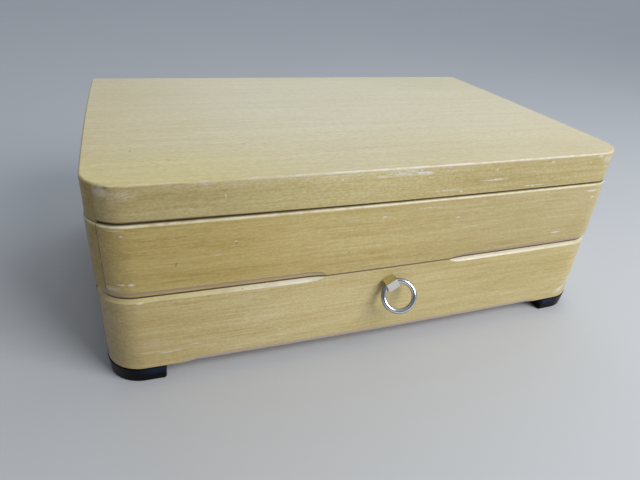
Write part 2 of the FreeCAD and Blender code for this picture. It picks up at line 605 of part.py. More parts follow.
# ------------------------------------------------------------------ write
for name, shape in nodes.items():
    if shape.ShapeType == "Compound" and len(shape.Solids) == 1:
        shape = shape.Solids[0]
    shape.exportStep("parts/%s.step" % name)
    print("%-22s solids %2d valid %s volume %10.1f" % (name, len(shape.Solids), shape.isValid(), shape.Volume))
print("nodes", len(nodes))
total = Part.makeCompound(list(nodes.values())).BoundBox
print("box X %.2f %.2f Y %.2f %.2f Z %.2f %.2f" % (total.XMin, total.XMax, total.YMin, total.YMax, total.ZMin, total.ZMax))
print("hinge axis", HINGE_Y + Y_SHIFT, Z_AXIS, "stud", PULL_Z, FACE_Y + Y_SHIFT,
      "ring turning point", [round(c, 4) for c in T_.add(V(0, Y_SHIFT, 0))], "axis", [round(c, 5) for c in U],
      "ring centre", [round(c, 4) for c in C_.add(V(0, Y_SHIFT, 0))])
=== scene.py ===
import bpy
import math
from mathutils import Matrix, Vector, noise


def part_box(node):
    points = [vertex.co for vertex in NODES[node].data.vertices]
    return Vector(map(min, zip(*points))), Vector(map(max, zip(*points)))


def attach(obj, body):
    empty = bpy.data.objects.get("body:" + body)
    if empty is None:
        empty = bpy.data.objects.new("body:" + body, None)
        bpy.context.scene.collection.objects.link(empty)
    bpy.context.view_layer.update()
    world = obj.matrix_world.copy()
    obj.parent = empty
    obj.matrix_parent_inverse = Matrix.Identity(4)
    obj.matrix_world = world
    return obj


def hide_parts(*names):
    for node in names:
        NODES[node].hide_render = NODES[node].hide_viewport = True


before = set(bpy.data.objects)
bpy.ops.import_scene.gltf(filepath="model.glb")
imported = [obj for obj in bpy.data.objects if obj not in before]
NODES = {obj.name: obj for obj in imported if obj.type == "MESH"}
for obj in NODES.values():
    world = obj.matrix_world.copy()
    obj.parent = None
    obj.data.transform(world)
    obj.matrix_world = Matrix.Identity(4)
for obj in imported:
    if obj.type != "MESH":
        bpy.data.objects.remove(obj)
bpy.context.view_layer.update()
scene = bpy.context.scene
MM = 0.001

# levels of the box, from the CAD
Z_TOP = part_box("lid_top_veneer")[1].z
Z_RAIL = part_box("lid_front_rail")[0].z
Z_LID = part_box("lid_left_rail")[0].z
Z_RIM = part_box("case_front")[1].z
Z_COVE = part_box("case_front")[0].z
Z_FRONT0, Z_FRONT1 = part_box("drawer_front")[0].z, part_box("drawer_front")[1].z


# ---------------------------------------------------------------- camera
cam_data = bpy.data.cameras.new("camera")
cam_data.sensor_width = 36.0
cam_data.lens = 512.133 * 36.0 / 640.0
cam_data.clip_start, cam_data.clip_end = 0.01, 100.0
cam = bpy.data.objects.new("camera", cam_data)
scene.collection.objects.link(cam)
right, up, back = (0.942582, -0.326798, 0.068857), (0.105152, 0.486087, 0.867561), (-0.316988, -0.810508, 0.49254)
at = (-0.132299, -0.321436, 0.216521)
cam.matrix_world = Matrix(((right[0], up[0], back[0], at[0]), (right[1], up[1], back[1], at[1]),
                           (right[2], up[2], back[2], at[2]), (0, 0, 0, 1)))
scene.camera = cam

scene.view_settings.view_transform = "Standard"
scene.view_settings.look = "None"
scene.view_settings.exposure = 0.0
scene.view_settings.gamma = 1.0


# ---------------------------------------------------------------- node graphs
class Graph:
    """A material's node tree, built from short calls. Every value may be a number or a socket."""

    def __init__(self, name):
        self.material = bpy.data.materials.new(name)
        self.material.use_nodes = True
        self.tree = self.material.node_tree
        self.tree.nodes.clear()
        self.out = self.node("ShaderNodeOutputMaterial")
        self.shader = self.node("ShaderNodeBsdfPrincipled")
        self.tree.links.new(self.shader.outputs[0], self.out.inputs[0])
        self._co = None

    def node(self, kind):
        return self.tree.nodes.new(kind)

    def put(self, socket, value):
        if isinstance(value, bpy.types.NodeSocket):
            self.tree.links.new(value, socket)
        elif hasattr(value, "__len__") and len(value) == 3 and socket.type == "RGBA":
            socket.default_value = (*value, 1.0)
        else:
            socket.default_value = value

    def set(self, **values):
        for k, v in values.items():
            self.put(self.shader.inputs[k.replace("_", " ")], v)

    def coord(self, which="Object"):
        if self._co is None:
            self._co = self.node("ShaderNodeTexCoord")
        return self._co.outputs[which]

    def split(self, v):
        n = self.node("ShaderNodeSeparateXYZ")
        self.put(n.inputs[0], v)
        return n.outputs[0], n.outputs[1], n.outputs[2]

    def join(self, x, y, z):
        n = self.node("ShaderNodeCombineXYZ")
        for i, v in enumerate((x, y, z)):
            self.put(n.inputs[i], v)
        return n.outputs[0]

    def math(self, op, a, b=None, c=None, clamp=False):
        n = self.node("ShaderNodeMath")
        n.operation, n.use_clamp = op, clamp
        for i, v in enumerate((a, b, c)):
            if v is not None:
                self.put(n.inputs[i], v)
        return n.outputs[0]

    def add(self, a, b):
        return self.math("ADD", a, b)

    def sub(self, a, b):
        return self.math("SUBTRACT", a, b)

    def mul(self, *values):
        out = values[0]
        for v in values[1:]:
            out = self.math("MULTIPLY", out, v)
        return out

    def most(self, *values):
        out = values[0]
        for v in values[1:]:
            out = self.math("MAXIMUM", out, v)
        return out

    def step(self, v, lo, hi, a=0.0, b=1.0):
        """Smooth rise from a to b between lo and hi."""
        n = self.node("ShaderNodeMapRange")
        n.interpolation_type = "SMOOTHSTEP"
        self.put(n.inputs[0], v)
        for i, k in enumerate((lo, hi, a, b)):
            n.inputs[1 + i].default_value = k
        return n.outputs[0]

    def scaled(self, v, scale, offset=(0, 0, 0)):
        n = self.node("ShaderNodeVectorMath")
        n.operation = "MULTIPLY_ADD"
        self.put(n.inputs[0], v)
        n.inputs[1].default_value = scale
        n.inputs[2].default_value = offset
        return n.outputs[0]

    def noise(self, v, scale=1.0, detail=2.0, rough=0.5, distort=0.0):
        n = self.node("ShaderNodeTexNoise")
        self.put(n.inputs["Vector"], v)
        n.inputs["Scale"].default_value = scale
        n.inputs["Detail"].default_value = detail
        n.inputs["Roughness"].default_value = rough
        n.inputs["Distortion"].default_value = distort
        return n.outputs[0]

    def spot(self, v, at, size, turn=0.0, axis=1, soft=(0.25, 1.0)):
        """1 inside an ellipsoid patch, falling to 0 at its edge."""
        m = self.node("ShaderNodeMapping")
        m.vector_type = "TEXTURE"
        self.put(m.inputs[0], v)
        m.inputs[1].default_value = at
        rot = [0.0, 0.0, 0.0]
        rot[axis] = turn
        m.inputs[2].default_value = rot
        m.inputs[3].default_value = size
        n = self.node("ShaderNodeVectorMath")
        n.operation = "LENGTH"
        self.put(n.inputs[0], m.outputs[0])
        return self.step(n.outputs["Value"], soft[0], soft[1], 1.0, 0.0)

    def mix(self, fac, a, b, mode="MIX"):
        n = self.node("ShaderNodeMix")
        n.data_type, n.blend_type = "RGBA", mode
        n.clamp_factor = True
        self.put(n.inputs[0], fac)
        self.put(n.inputs[6], a)
        self.put(n.inputs[7], b)
        return n.outputs[2]

    def ramp(self, fac, stops):
        n = self.node("ShaderNodeValToRGB")
        self.put(n.inputs[0], fac)
        r = n.color_ramp
        r.interpolation = "EASE" if len(stops) < 3 else "LINEAR"
        while len(r.elements) < len(stops):
            r.elements.new(0.5)
        for e, (p, c) in zip(r.elements, stops):
            e.position = p
            e.color = (*c, 1.0)
        return n.outputs[0]

    def bump(self, height, strength, distance, normal=None):
        n = self.node("ShaderNodeBump")
        n.inputs["Strength"].default_value = strength
        n.inputs["Distance"].default_value = distance
        self.put(n.inputs["Height"], height)
        if normal is not None:
            self.put(n.inputs["Normal"], normal)
        return n.outputs[0]


def dress(node, material):
    o = NODES[node]
    o.data.materials.clear()
    o.data.materials.append(material)
    for p in o.data.polygons:
        p.material_index = 0
        p.use_smooth = True


# ---------------------------------------------------------------- varnished wood
PALE = (0.83, 0.77, 0.715)      # bare fibres where the varnish has worn away
BROWN = (0.16, 0.085, 0.035)


def wood(name, grain="x", seed=0.0, tone=1.0, warm=0.0, pale_marks=(), dark_marks=(), mitres=(), edges=(),
         down_shade=(), bare=None, worn=0.0, flat_axis="y", blue=1.0, crack_dark=0.85, shade=(), lit_cove=None,
         edge_x=None, mottle=0.30, varnish_and_light_tint=None, gloss=0.5, coat=0.30, streaky=1.25, speck=0.38, speck_size=1.0, tone_and_light_patches=(), band=(), under=None):
    """Pale close-grained wood under yellowed satin varnish.
    edges: (z0, z1, low, strength) bands of height in which rounded edges are rubbed pale.
    down_shade: (z0, z1) bands of height where faces turned downward are painted darker, a painted shade standing for
    the shade under a moulding.
    bare: (z0, z1) band of height where downward faces are unvarnished.
    shade: (z, front, back) painted shade on flat level faces between two depths behind the front, standing for the
    shadow inside a gap.
    lit_cove: (z0, z1) band of height where upward faces of a cove are painted paler, a painted highlight standing for
    the light they catch.
    edge_x: (x0, x1, low) the edge wear rises from low to full between two places along the front.
    varnish_and_light_tint: a tint at the left end and at the right end; on the fronts it is painted light, darker at
    the left and paler, bluer at the right, standing for the lamp's falloff; on the left side boards it is an even
    painted shade; on the right side boards an even varnish tint.
    streaky, speck: how strong the long streaks and the short flecks of the grain are.
    tone_and_light_patches: (place, size, tint) wide soft patches, mostly painted light and shade: paler, bluer middles
    stand for light and sheen, darker left corners for shade; warmer patches on the top stand partly for less sheen and
    partly for the varnish's yellowing.
    band: (z0, z1, strength, colour) bands of height rubbed pale along an edge; on the rim the pale yellow band is also
    a painted highlight of its rounded edge.
    under: (z, left, right, colour) a painted shade along a lower edge beside a gap, standing for the gap's shadow, its
    height at the left and at the right."""
    g = Graph(name)
    co = g.coord()
    x, y, z = g.split(co)
    nx, ny, nz = g.split(g.coord("Normal"))
    a, b, c = (x, y, z) if grain == "x" else (y, x, z)
    wander = g.noise(g.join(g.math("MULTIPLY_ADD", a, 3.2, seed), g.mul(b, 7.0), g.mul(c, 7.0)), 1.0, 1.0)
    wander = g.math("MULTIPLY_ADD", wander, 0.007, -0.0035)
    bw, cw = g.add(b, wander), g.add(c, wander)

    def fibre(along, across, detail, rough, shift):
        v = g.join(g.math("MULTIPLY_ADD", a, along, seed + shift), g.math("MULTIPLY_ADD", bw, across, shift), g.math("MULTIPLY_ADD", cw, across, seed * 0.37))
        return g.noise(v, 1.0, detail, rough)

    bands = fibre(4.0, 190.0, 2.0, 0.5, 3.1)
    streak = fibre(22.0, 760.0, 2.0, 0.6, 7.7)
    fine = fibre(120.0, 2300.0, 2.0, 0.6, 1.3)
    pores = g.step(fibre(150.0, 2600.0, 1.0, 0.5, 5.9), 0.66, 0.78)
    mixd = g.add(g.mul(bands, 0.28), g.add(g.mul(streak, 0.40), g.mul(fine, 0.32)))
    if streaky != 1.0:
        mixd = g.math("MULTIPLY_ADD", mixd, streaky, 0.5 - 0.5 * streaky)
    t = tone
    colour = g.ramp(mixd, [(0.30, (0.462 * t, 0.335 * t, 0.098 * t * blue)), (0.45, (0.565 * t, 0.440 * t, 0.170 * t * blue)),
                           (0.55, (0.610 * t, 0.488 * t, 0.206 * t * blue)), (0.70, (0.690 * t, 0.575 * t, 0.278 * t * blue))])
    # drifting tone of the old varnish
    cloud = g.noise(g.scaled(co, (9.0, 9.0, 16.0), (seed, 0.0, seed * 2.0)), 1.0, 2.0)
    colour = g.mix(g.step(cloud, 0.42, 0.72, 0.0, 0.26 + warm), colour, (0.555 * t, 0.410 * t, 0.130 * t * blue))
    colour = g.mix(g.mul(pores, 0.22), colour, (0.36, 0.25, 0.10))
    # browner flecks of the wood
    fleck = fibre(15.0, 105.0, 3.0, 0.62, 9.3)
    colour = g.mix(g.step(fleck, 0.50, 0.74, 0.0, mottle), colour, (0.50 * t, 0.345 * t, 0.108 * t))
    # short flecks and pores
    if speck > 0:
        k = 1.0 / speck_size
        dots = g.noise(g.join(g.math("MULTIPLY_ADD", a, 560.0 * k, seed), g.mul(b, 1300.0 * k), g.mul(c, 1300.0 * k)), 1.0, 1.5, 0.6)
        e = speck
        tint = g.mix(g.step(dots, 0.28, 0.72), (1 - 0.20 * e, 1 - 0.21 * e, 1 - 0.48 * e), (1 + 0.20 * e, 1 + 0.21 * e, 1 + 0.48 * e))
        colour = g.mix(1.0, colour, tint, "MULTIPLY")
    # painted light and shade: soft patches that pale and blue the middles for sheen and light and darken the left
    # corners for shade
    for place, size, tint in tone_and_light_patches:
        m = g.spot(co, place, size, 0.0, 2, (0.0, 1.0))
        colour = g.mix(m, colour, g.mix(1.0, colour, tint, "MULTIPLY"))
    # painted light: on the fronts the tint darkens the left end and pales and blues the right end, standing for the
    # lamp's falloff; on the left side boards it is an even painted shade
    if varnish_and_light_tint:
        tint = g.mix(g.step(x, -0.150, 0.150), varnish_and_light_tint[0], varnish_and_light_tint[1])
        colour = g.mix(1.0, colour, tint, "MULTIPLY")

    # rubbed patches
    rub = g.noise(g.join(g.mul(a, 620.0), g.mul(b, 2600.0), g.mul(c, 2600.0)), 1.0, 3.0, 0.62)
    rub_soft = g.noise(g.scaled(co, (170.0, 170.0, 170.0), (seed, 4.0, 2.0)), 1.0, 3.0, 0.6)
    wear = None

    def more(mask):
        nonlocal wear
        wear = mask if wear is None else g.most(wear, mask)

    for z0, z1, reach, strength in edges:
        inside = g.mul(g.step(z, z0, z0 + 0.0004), g.step(z, z1 - 0.0001, z1 + 0.0003, 1.0, 0.0))
        lift = g.math("ABSOLUTE", nz)
        line = g.mul(inside, g.step(lift, 0.10, 0.42), g.step(lift, 0.90, 0.995, 1.0, 0.0))
        if edge_x:
            line = g.mul(line, g.step(x, edge_x[0], edge_x[1], edge_x[2], 1.0))
        more(g.mul(line, g.step(rub_soft, 0.36, 0.64, 0.30, 1.0), strength))
        if reach > 0:
            near = g.step(z, z1 - reach, z1, 0.0, 1.0) if z1 > 0.07 else g.step(z, z0, z0 + reach, 1.0, 0.0)
            more(g.mul(near, g.step(rub, 0.60, 0.74), strength * 0.5))
    for z0, z1, strength, pale in band:
        line = g.mul(g.step(z, z0, z0 + 0.0005), g.step(z, z1, z1 + 0.0002, 1.0, 0.0), g.step(rub_soft, 0.30, 0.60, 0.5, 1.0))
        if edge_x:
            line = g.mul(line, g.step(x, edge_x[0], edge_x[1], edge_x[2], 1.0))
        colour = g.mix(g.mul(line, strength), colour, pale)
    for spot in pale_marks:
        m = g.spot(co, spot["at"], spot["size"], spot.get("turn", 0.0), 1 if flat_axis == "y" else 2)
        lo = spot.get("broken", 0.5)
        more(g.mul(m, g.step(rub, lo - 0.06, lo + 0.10) if lo > 0 else 1.0, spot.get("strength", 0.8)))
    if worn > 0:
        sparse = g.noise(g.join(g.math("MULTIPLY_ADD", a, 42.0, seed), g.mul(b, 330.0), g.mul(c, 330.0)), 1.0, 2.0, 0.5)
        where = g.noise(g.scaled(co, (22.0, 22.0, 30.0), (5.0, seed, 1.0)), 1.0, 1.0)
        more(g.mul(g.step(sparse, 0.735, 0.79), g.step(where, 0.45, 0.62), worn))
    if wear is not None:
        colour = g.mix(wear, colour, PALE)
    # painted shade: faces turned downward in the groove's upper cove are tinted darker, standing for their shade
    for z0, z1, strength in down_shade:
        inside = g.mul(g.step(z, z0, z0 + 0.0003), g.step(z, z1, z1 + 0.0003, 1.0, 0.0))
        colour = g.mix(g.mul(inside, g.step(nz, -0.34, -0.02, strength, 0.0)), colour, (0.46, 0.325, 0.245))
    if bare:
        inside = g.mul(g.step(z, bare[0], bare[0] + 0.0002), g.step(z, bare[1], bare[1] + 0.0003, 1.0, 0.0))
        colour = g.mix(g.mul(inside, g.step(nz, -0.30, -0.12, 0.85, 0.0)), colour, (0.60, 0.475, 0.40))
    # painted highlight: upward faces of the groove's lower cove are made paler, yellower at the left and whiter at the
    # right, standing for the light they catch
    if lit_cove:
        inside = g.mul(g.step(z, lit_cove[0] - 0.0003, lit_cove[0] + 0.0003), g.step(z, lit_cove[1], lit_cove[1] + 0.0003, 1.0, 0.0))
        cove = g.mul(inside, g.step(nz, 0.04, 0.34, 0.0, 1.0), g.step(nz, 0.80, 0.92, 1.0, 0.0), g.step(rub_soft, 0.25, 0.60, 0.34, 0.58))
        cove = g.mul(cove, g.step(x, -0.150, -0.050, 0.75, 1.0), g.step(x, 0.050, 0.110, 1.0, 0.65))
        colour = g.mix(cove, colour, g.mix(g.step(x, -0.120, -0.060), (0.80, 0.72, 0.36), (0.88, 0.84, 0.73)))
    # painted shade: a dark brown strip on flat faces just inside the gaps, broken up by noise, standing for the shadow
    # there
    for level, front, behind in shade:
        flat = g.mul(g.step(g.math("ABSOLUTE", g.sub(z, level)), 0.0002, 0.0004, 1.0, 0.0), g.step(g.math("ABSOLUTE", nz), 0.80, 0.97))
        depth = g.sub(y, g.math("MULTIPLY_ADD", g.mul(x, x), 0.086, -0.0982))
        shade_breakup = g.noise(g.join(g.math("MULTIPLY_ADD", x, 38.0, seed), g.mul(y, 300.0), 1.0), 1.0, 3.0, 0.6)
        reach = g.add(depth, g.math("MULTIPLY_ADD", shade_breakup, 0.0060, -0.0030))
        strip = g.mul(g.step(depth, front, front + 0.0006), g.step(reach, behind - 0.0030, behind + 0.0055, 1.0, 0.0))
        colour = g.mix(g.mul(flat, strip, g.step(shade_breakup, 0.30, 0.70, 0.50, 0.80)), colour, (0.110, 0.069, 0.035))
    # painted shade: a dark line along the lower edge beside a gap, standing for the gap's shadow
    if under:
        line = g.step(g.sub(g.sub(z, under[0]), g.step(x, -0.145, 0.060, under[1], under[2])), -0.0002, 0.0002, 0.92, 0.0)
        colour = g.mix(line, colour, under[3])
    for spot in dark_marks:
        m = g.spot(co, spot["at"], spot["size"], spot.get("turn", 0.0), 1 if flat_axis == "y" else 2, spot.get("soft", (0.2, 1.0)))
        m = g.mul(m, spot.get("strength", 0.7))
        if spot.get("broken"):
            m = g.mul(m, g.step(rub_soft, 0.40, 0.62))
        colour = g.mix(m, colour, spot.get("colour", BROWN))
    crack = None
    for kx, ky, k0, half in mitres:
        d = g.math("ABSOLUTE", g.add(g.add(g.mul(x, kx), g.mul(y, ky)), k0))
        gap = g.noise(g.join(seed, 2.0, g.mul(z, 260.0)), 1.0, 2.0)
        line = g.mul(g.step(d, half * 0.35, half, 1.0, 0.0), g.step(gap, 0.36, 0.56, 0.30, 1.0))
        crack = line if crack is None else g.most(crack, line)
    if crack is not None:
        colour = g.mix(g.mul(crack, crack_dark), colour, (0.075, 0.045, 0.022))
    height = g.add(g.mul(streak, 0.55), g.sub(g.mul(fine, 0.45), g.mul(pores, 0.5)))
    if wear is not None:
        height = g.sub(height, g.mul(wear, 0.8))
    if crack is not None:
        height = g.sub(height, g.mul(crack, 2.0))
    rough = g.math("MULTIPLY_ADD", streak, 0.16, 0.30)
    rough = g.add(rough, g.step(cloud, 0.3, 0.7, 0.0, 0.05))
    if wear is not None:
        rough = g.add(rough, g.mul(wear, 0.22))
    g.set(Base_Color=colour, Roughness=rough, IOR=1.5, Specular_IOR_Level=gloss, Coat_Weight=coat, Coat_Roughness=0.20,
          Normal=g.bump(height, 0.10, 0.0004))
    return g.material


def mark(x, z, rx, rz, turn=0.0, **k):
    """A mark on the front: centre, half length and half height in millimetres, turn in degrees."""
    return dict(at=(x * MM, -0.0965, z * MM), size=(rx * MM, 0.012, rz * MM), turn=math.radians(-turn), **k)


def top_mark(x, y, rx, ry, turn=0.0, **k):
    return dict(at=(x * MM, y * MM, Z_TOP), size=(rx * MM, ry * MM, 0.003), turn=math.radians(turn), **k)


MITRES = [(0.7071, -0.7071, 0.064 * 0.7071, 0.00034), (-0.7071, -0.7071, 0.064 * 0.7071, 0.00034)]
TOP_EDGE = (Z_TOP - 0.0015, Z_TOP + 0.0007, 0.0, 0.75)
WORN_RIGHT = (-0.130, 0.000, 0.42)
LID_EDGES = [TOP_EDGE]
LID_FRONT_EDGES = [(Z_TOP - 0.0015, Z_TOP + 0.0007, 0.0050, 0.75), (Z_RAIL - 0.0015, Z_RAIL + 0.0010, 0.0018, 0.25)]
RIM_EDGES = [(Z_RIM - 0.0012, Z_RIM + 0.0004, 0.0022, 0.42)]
# edge wear and a painted highlight: the rim's pale yellow band stands for the light on its rounded edge as well as its
# wear
RIM_WEAR_AND_HIGHLIGHT = [(Z_RIM - 0.0014, Z_RIM + 0.0002, 0.72, (0.86, 0.765, 0.47))]
TOP_BAND = [(Z_TOP - 0.0015, Z_TOP + 0.0002, 0.72, (0.84, 0.78, 0.70))]
# painted shade of the groove's upper cove, whose faces turn downward
COVE_SHADE = [(Z_COVE - 0.0005, Z_COVE + 0.0040, 0.75)]

# painted light: the top's wood is paler than the fronts' (tone 1.115) and bluer in its middle, standing for the light
# and sheen it gets
wood_top_lit = wood("wood_lid_top_lit", "x", 11.0, 1.115, 0.0, edges=[TOP_EDGE], worn=0.20, flat_axis="z", edge_x=WORN_RIGHT, mottle=0.16, streaky=0.72, speck=0.33, speck_size=1.5,
                tone_and_light_patches=[((0.01, 0.01, Z_TOP), (0.20, 0.15, 0.05), (1.06, 1.13, 1.48)), ((-0.130, -0.085, Z_TOP), (0.11, 0.05, 0.05), (1.0, 1.01, 0.74)),
                       ((0.12, 0.10, Z_TOP), (0.10, 0.07, 0.05), (0.92, 0.94, 0.80))],
                pale_marks=[top_mark(-150.2, -69.2, 8.0, 1.0, 4.0, strength=0.5, broken=0.45),
                            top_mark(-154.2, -44.6, 3.0, 5.0, 10.0, strength=0.35, broken=0.5),
                            top_mark(-139.0, -80.1, 16.0, 4.0, 8.0, strength=0.35, broken=0.52)],
                dark_marks=[top_mark(-136.2, -52.5, 0.9, 1.1, 0, strength=0.75),
                            top_mark(-118.5, -68.1, 2.2, 1.2, -38, strength=0.62, colour=(0.33, 0.23, 0.10)),
                            top_mark(-124.9, -72.3, 5.0, 1.0, -35, strength=0.38, colour=(0.36, 0.27, 0.12)),
                            top_mark(-131.0, -68.3, 2.0, 0.9, 20, strength=0.38, colour=(0.36, 0.27, 0.12)),
                            top_mark(-91.4, -34.2, 9.0, 1.1, -10, strength=0.36, colour=(0.40, 0.33, 0.20), broken=True),
                            top_mark(-94.9, -37.1, 5.0, 0.8, 24, strength=0.36, colour=(0.40, 0.33, 0.20), broken=True),
                            top_mark(-76.6, -49.7, 1.0, 0.8, 0, strength=0.55),
                            top_mark(2.6, -17.3, 5.5, 1.0, 6, strength=0.52, colour=(0.36, 0.29, 0.17), broken=True),
                            top_mark(6.3, -14.9, 4.0, 0.7, -8, strength=0.52, colour=(0.36, 0.29, 0.17), broken=True),
                            top_mark(30.5, -24.7, 0.9, 0.7, 0, strength=0.5),
                            top_mark(-15.0, -49.2, 0.8, 0.7, 0, strength=0.5),
                            top_mark(58.5, 37.0, 0.7, 0.7, 0, strength=0.45),
                            top_mark(-40.3, 66.8, 0.8, 0.6, 0, strength=0.45)])

# painted light and shade on the lid front: the dark line under the rail stands for the gap's shadow
wood_lid_front = wood("wood_lid_front", "x", 23.0, 0.935, 0.03, edges=LID_FRONT_EDGES, band=TOP_BAND, under=(Z_RAIL, 0.0008, -0.0003, (0.115, 0.065, 0.030)), mitres=MITRES, worn=0.45, crack_dark=0.35, edge_x=WORN_RIGHT, speck=0.50,
                      varnish_and_light_tint=((0.79, 0.785, 0.79), (0.94, 0.95, 0.98)), tone_and_light_patches=[((-0.038, -0.0965, 0.109), (0.125, 0.05, 0.05), (1.29, 1.35, 1.55)), ((-0.164, -0.092, 0.060), (0.036, 0.05, 0.20), (0.76, 0.74, 0.72))],
                      pale_marks=[mark(4.3, 116.1, 20.0, 2.6, 0, strength=0.85, broken=0.50),
                                  mark(13.3, 115.3, 8.0, 1.5, 0, strength=0.9, broken=0.42),
                                  mark(-10.6, 114.9, 8.0, 1.2, 0, strength=0.7, broken=0.48),
                                  mark(61.1, 107.7, 12.0, 0.8, 1, strength=0.75, broken=0.42),
                                  mark(90.9, 101.9, 11.0, 0.7, 0, strength=0.75, broken=0.45),
                                  mark(29.2, 103.5, 14.0, 0.9, 0, strength=0.55, broken=0.50),
                                  mark(39.2, 102.2, 1.4, 0.8, 0, strength=0.8, broken=0),
                                  mark(-94.6, 110.4, 0.32, 2.2, 5, strength=0.65, broken=0),
                                  mark(-151.0, 115.6, 6.0, 4.4, 0, strength=0.42, broken=0.42),
                                  mark(-142.0, 114.0, 10.0, 4.0, 0, strength=0.28, broken=0.48),
                                  mark(-108.8, 117.7, 26.0, 1.4, 0, strength=0.40, broken=0.53),
                                  mark(-58.6, 117.4, 24.0, 1.8, 0, strength=0.40, broken=0.54),
                                  mark(120.6, 113.1, 14.0, 1.2, 0, strength=0.5, broken=0.54),
                                  mark(144.5, 114.8, 8.0, 3.0, 0, strength=0.62, broken=0.49),
                                  mark(138.3, 117.2, 3.0, 0.8, 0, strength=0.7, broken=0.36),
                                  mark(131.1, 113.9, 0.8, 0.5, 0, strength=0.7, broken=0),
                                  mark(146.4, 109.5, 1.2, 0.6, 0, strength=0.6, broken=0),
                                  mark(61.1, 114.2, 1.2, 0.6, 0, strength=0.8, broken=0),
                                  mark(-34.7, 114.6, 1.0, 0.6, 0, strength=0.75, broken=0),
                                  mark(100.8, 116.1, 2.0, 0.6, 0, strength=0.7, broken=0)],
                      dark_marks=[mark(-148.1, 117.8, 1.5, 0.9, 0, strength=0.85, colour=(0.22, 0.105, 0.04)),
                                  mark(-152.1, 117.2, 1.0, 0.7, 0, strength=0.6, colour=(0.26, 0.14, 0.06)),
                                  mark(33.7, 110.8, 0.6, 1.5, 0, strength=0.55, broken=True),
                                  mark(31.7, 113.5, 0.6, 0.5, 0, strength=0.55),
                                  mark(97.8, 116.7, 2.0, 0.4, 0, strength=0.6),
                                  mark(-2.7, 112.3, 0.5, 1.2, 0, strength=0.3)])
# painted shade: the lid's left side is the front's wood made darker and more orange, standing for the shade on that
# side
wood_lid_left_shaded = wood("wood_lid_left_shaded", "y", 31.0, 0.71, 0.04, blue=0.85, varnish_and_light_tint=((1.0, 0.88, 0.77), (1.0, 0.88, 0.77)), edges=LID_EDGES + [(Z_LID - 0.0002, Z_LID + 0.0008, 0.0, 0.35)], mitres=MITRES, worn=0.35, flat_axis="x", crack_dark=0.35, gloss=0.25, coat=0.05, edge_x=WORN_RIGHT)
wood_lid_right = wood("wood_lid_right", "y", 33.0, 0.90, 0.04, varnish_and_light_tint=((0.96, 0.955, 0.97), (0.96, 0.955, 0.97)), edges=LID_EDGES + [(Z_LID - 0.0002, Z_LID + 0.0008, 0.0, 0.35)], mitres=MITRES, worn=0.35, flat_axis="x", crack_dark=0.35, edge_x=WORN_RIGHT)
wood_lid_back = wood("wood_lid_back", "x", 37.0, 0.97, 0.02, edges=LID_EDGES, worn=0.2)

# painted shade on the case front: the strip on the rim's top, the line at its lower edge and the upper cove's tint
# stand for shadow in the gaps
wood_case_front = wood("wood_case_front", "x", 43.0, 0.925, 0.12, edges=RIM_EDGES, band=RIM_WEAR_AND_HIGHLIGHT, under=(Z_COVE, 0.0004, 0.0004, (0.20, 0.125, 0.095)), mitres=MITRES, worn=0.35, down_shade=COVE_SHADE, crack_dark=0.95, shade=[(Z_RIM, 0.0011, 0.0050)],
                       varnish_and_light_tint=((0.87, 0.82, 0.64), (0.96, 0.97, 1.10)), tone_and_light_patches=[((-0.035, -0.0965, 0.078), (0.125, 0.05, 0.06), (1.18, 1.19, 1.27)), ((-0.164, -0.092, 0.060), (0.036, 0.05, 0.20), (0.76, 0.74, 0.72))],
                       pale_marks=[mark(-147.1, 65.9, 2.6, 0.9, 2, strength=0.60, broken=0.40),
                                   mark(-142.3, 65.8, 2.4, 1.0, 0, strength=0.65, broken=0.36),
                                   mark(-7.7, 91.0, 1.6, 0.6, 8, strength=0.85, broken=0),
                                   mark(40.5, 85.9, 2.3, 0.5, 3, strength=0.8, broken=0),
                                   mark(50.6, 78.8, 9.0, 0.5, 2, strength=0.45, broken=0.40),
                                   mark(120.1, 66.2, 5.0, 0.8, 3, strength=0.8, broken=0.40),
                                   mark(139.6, 94.2, 6.0, 0.9, 0, strength=0.8, broken=0.42),
                                   mark(142.0, 89.7, 2.0, 0.9, 0, strength=0.7, broken=0),
                                   mark(20.8, 94.0, 14.0, 0.8, 0, strength=0.6, broken=0.50),
                                   mark(-147.1, 96.4, 6.0, 0.7, 0, strength=0.45, broken=0.45),
                                   mark(-144.0, 93.5, 1.2, 0.5, 0, strength=0.7, broken=0),
                                   mark(-90.2, 85.2, 1.2, 0.6, 0, strength=0.6, broken=0),
                                   mark(-99.5, 78.2, 2.2, 0.4, 3, strength=0.5, broken=0),
                                   mark(-152.2, 63.0, 6.0, 2.2, 0, strength=0.55, broken=0.46)],
                       dark_marks=[mark(-89.9, 84.4, 1.0, 0.5, -20, strength=0.8),
                                   mark(-120.3, 75.0, 0.45, 2.0, -24, strength=0.65),
                                   mark(-27.0, 70.9, 0.9, 0.6, 0, strength=0.55),
                                   mark(-68.9, 89.6, 0.5, 0.4, 0, strength=0.35)])
# painted shade: the case's left side is the front's wood made darker and more orange, standing for the shade on that
# side
wood_case_left_shaded = wood("wood_case_left_shaded", "y", 53.0, 0.72, 0.08, varnish_and_light_tint=((1.0, 0.875, 0.82), (1.0, 0.875, 0.82)), edges=[(Z_RIM - 0.0012, Z_RIM + 0.0004, 0.0016, 0.60)], band=RIM_WEAR_AND_HIGHLIGHT, mitres=MITRES, worn=0.35, down_shade=COVE_SHADE, flat_axis="x", crack_dark=0.95, gloss=0.25, coat=0.05, blue=0.85)
wood_case_right = wood("wood_case_right", "y", 57.0, 0.90, 0.06, varnish_and_light_tint=((0.97, 0.965, 1.00), (0.97, 0.965, 1.00)), edges=[(Z_RIM - 0.0012, Z_RIM + 0.0004, 0.0016, 0.60)], band=RIM_WEAR_AND_HIGHLIGHT, mitres=MITRES, worn=0.35, down_shade=COVE_SHADE, flat_axis="x", crack_dark=0.95)
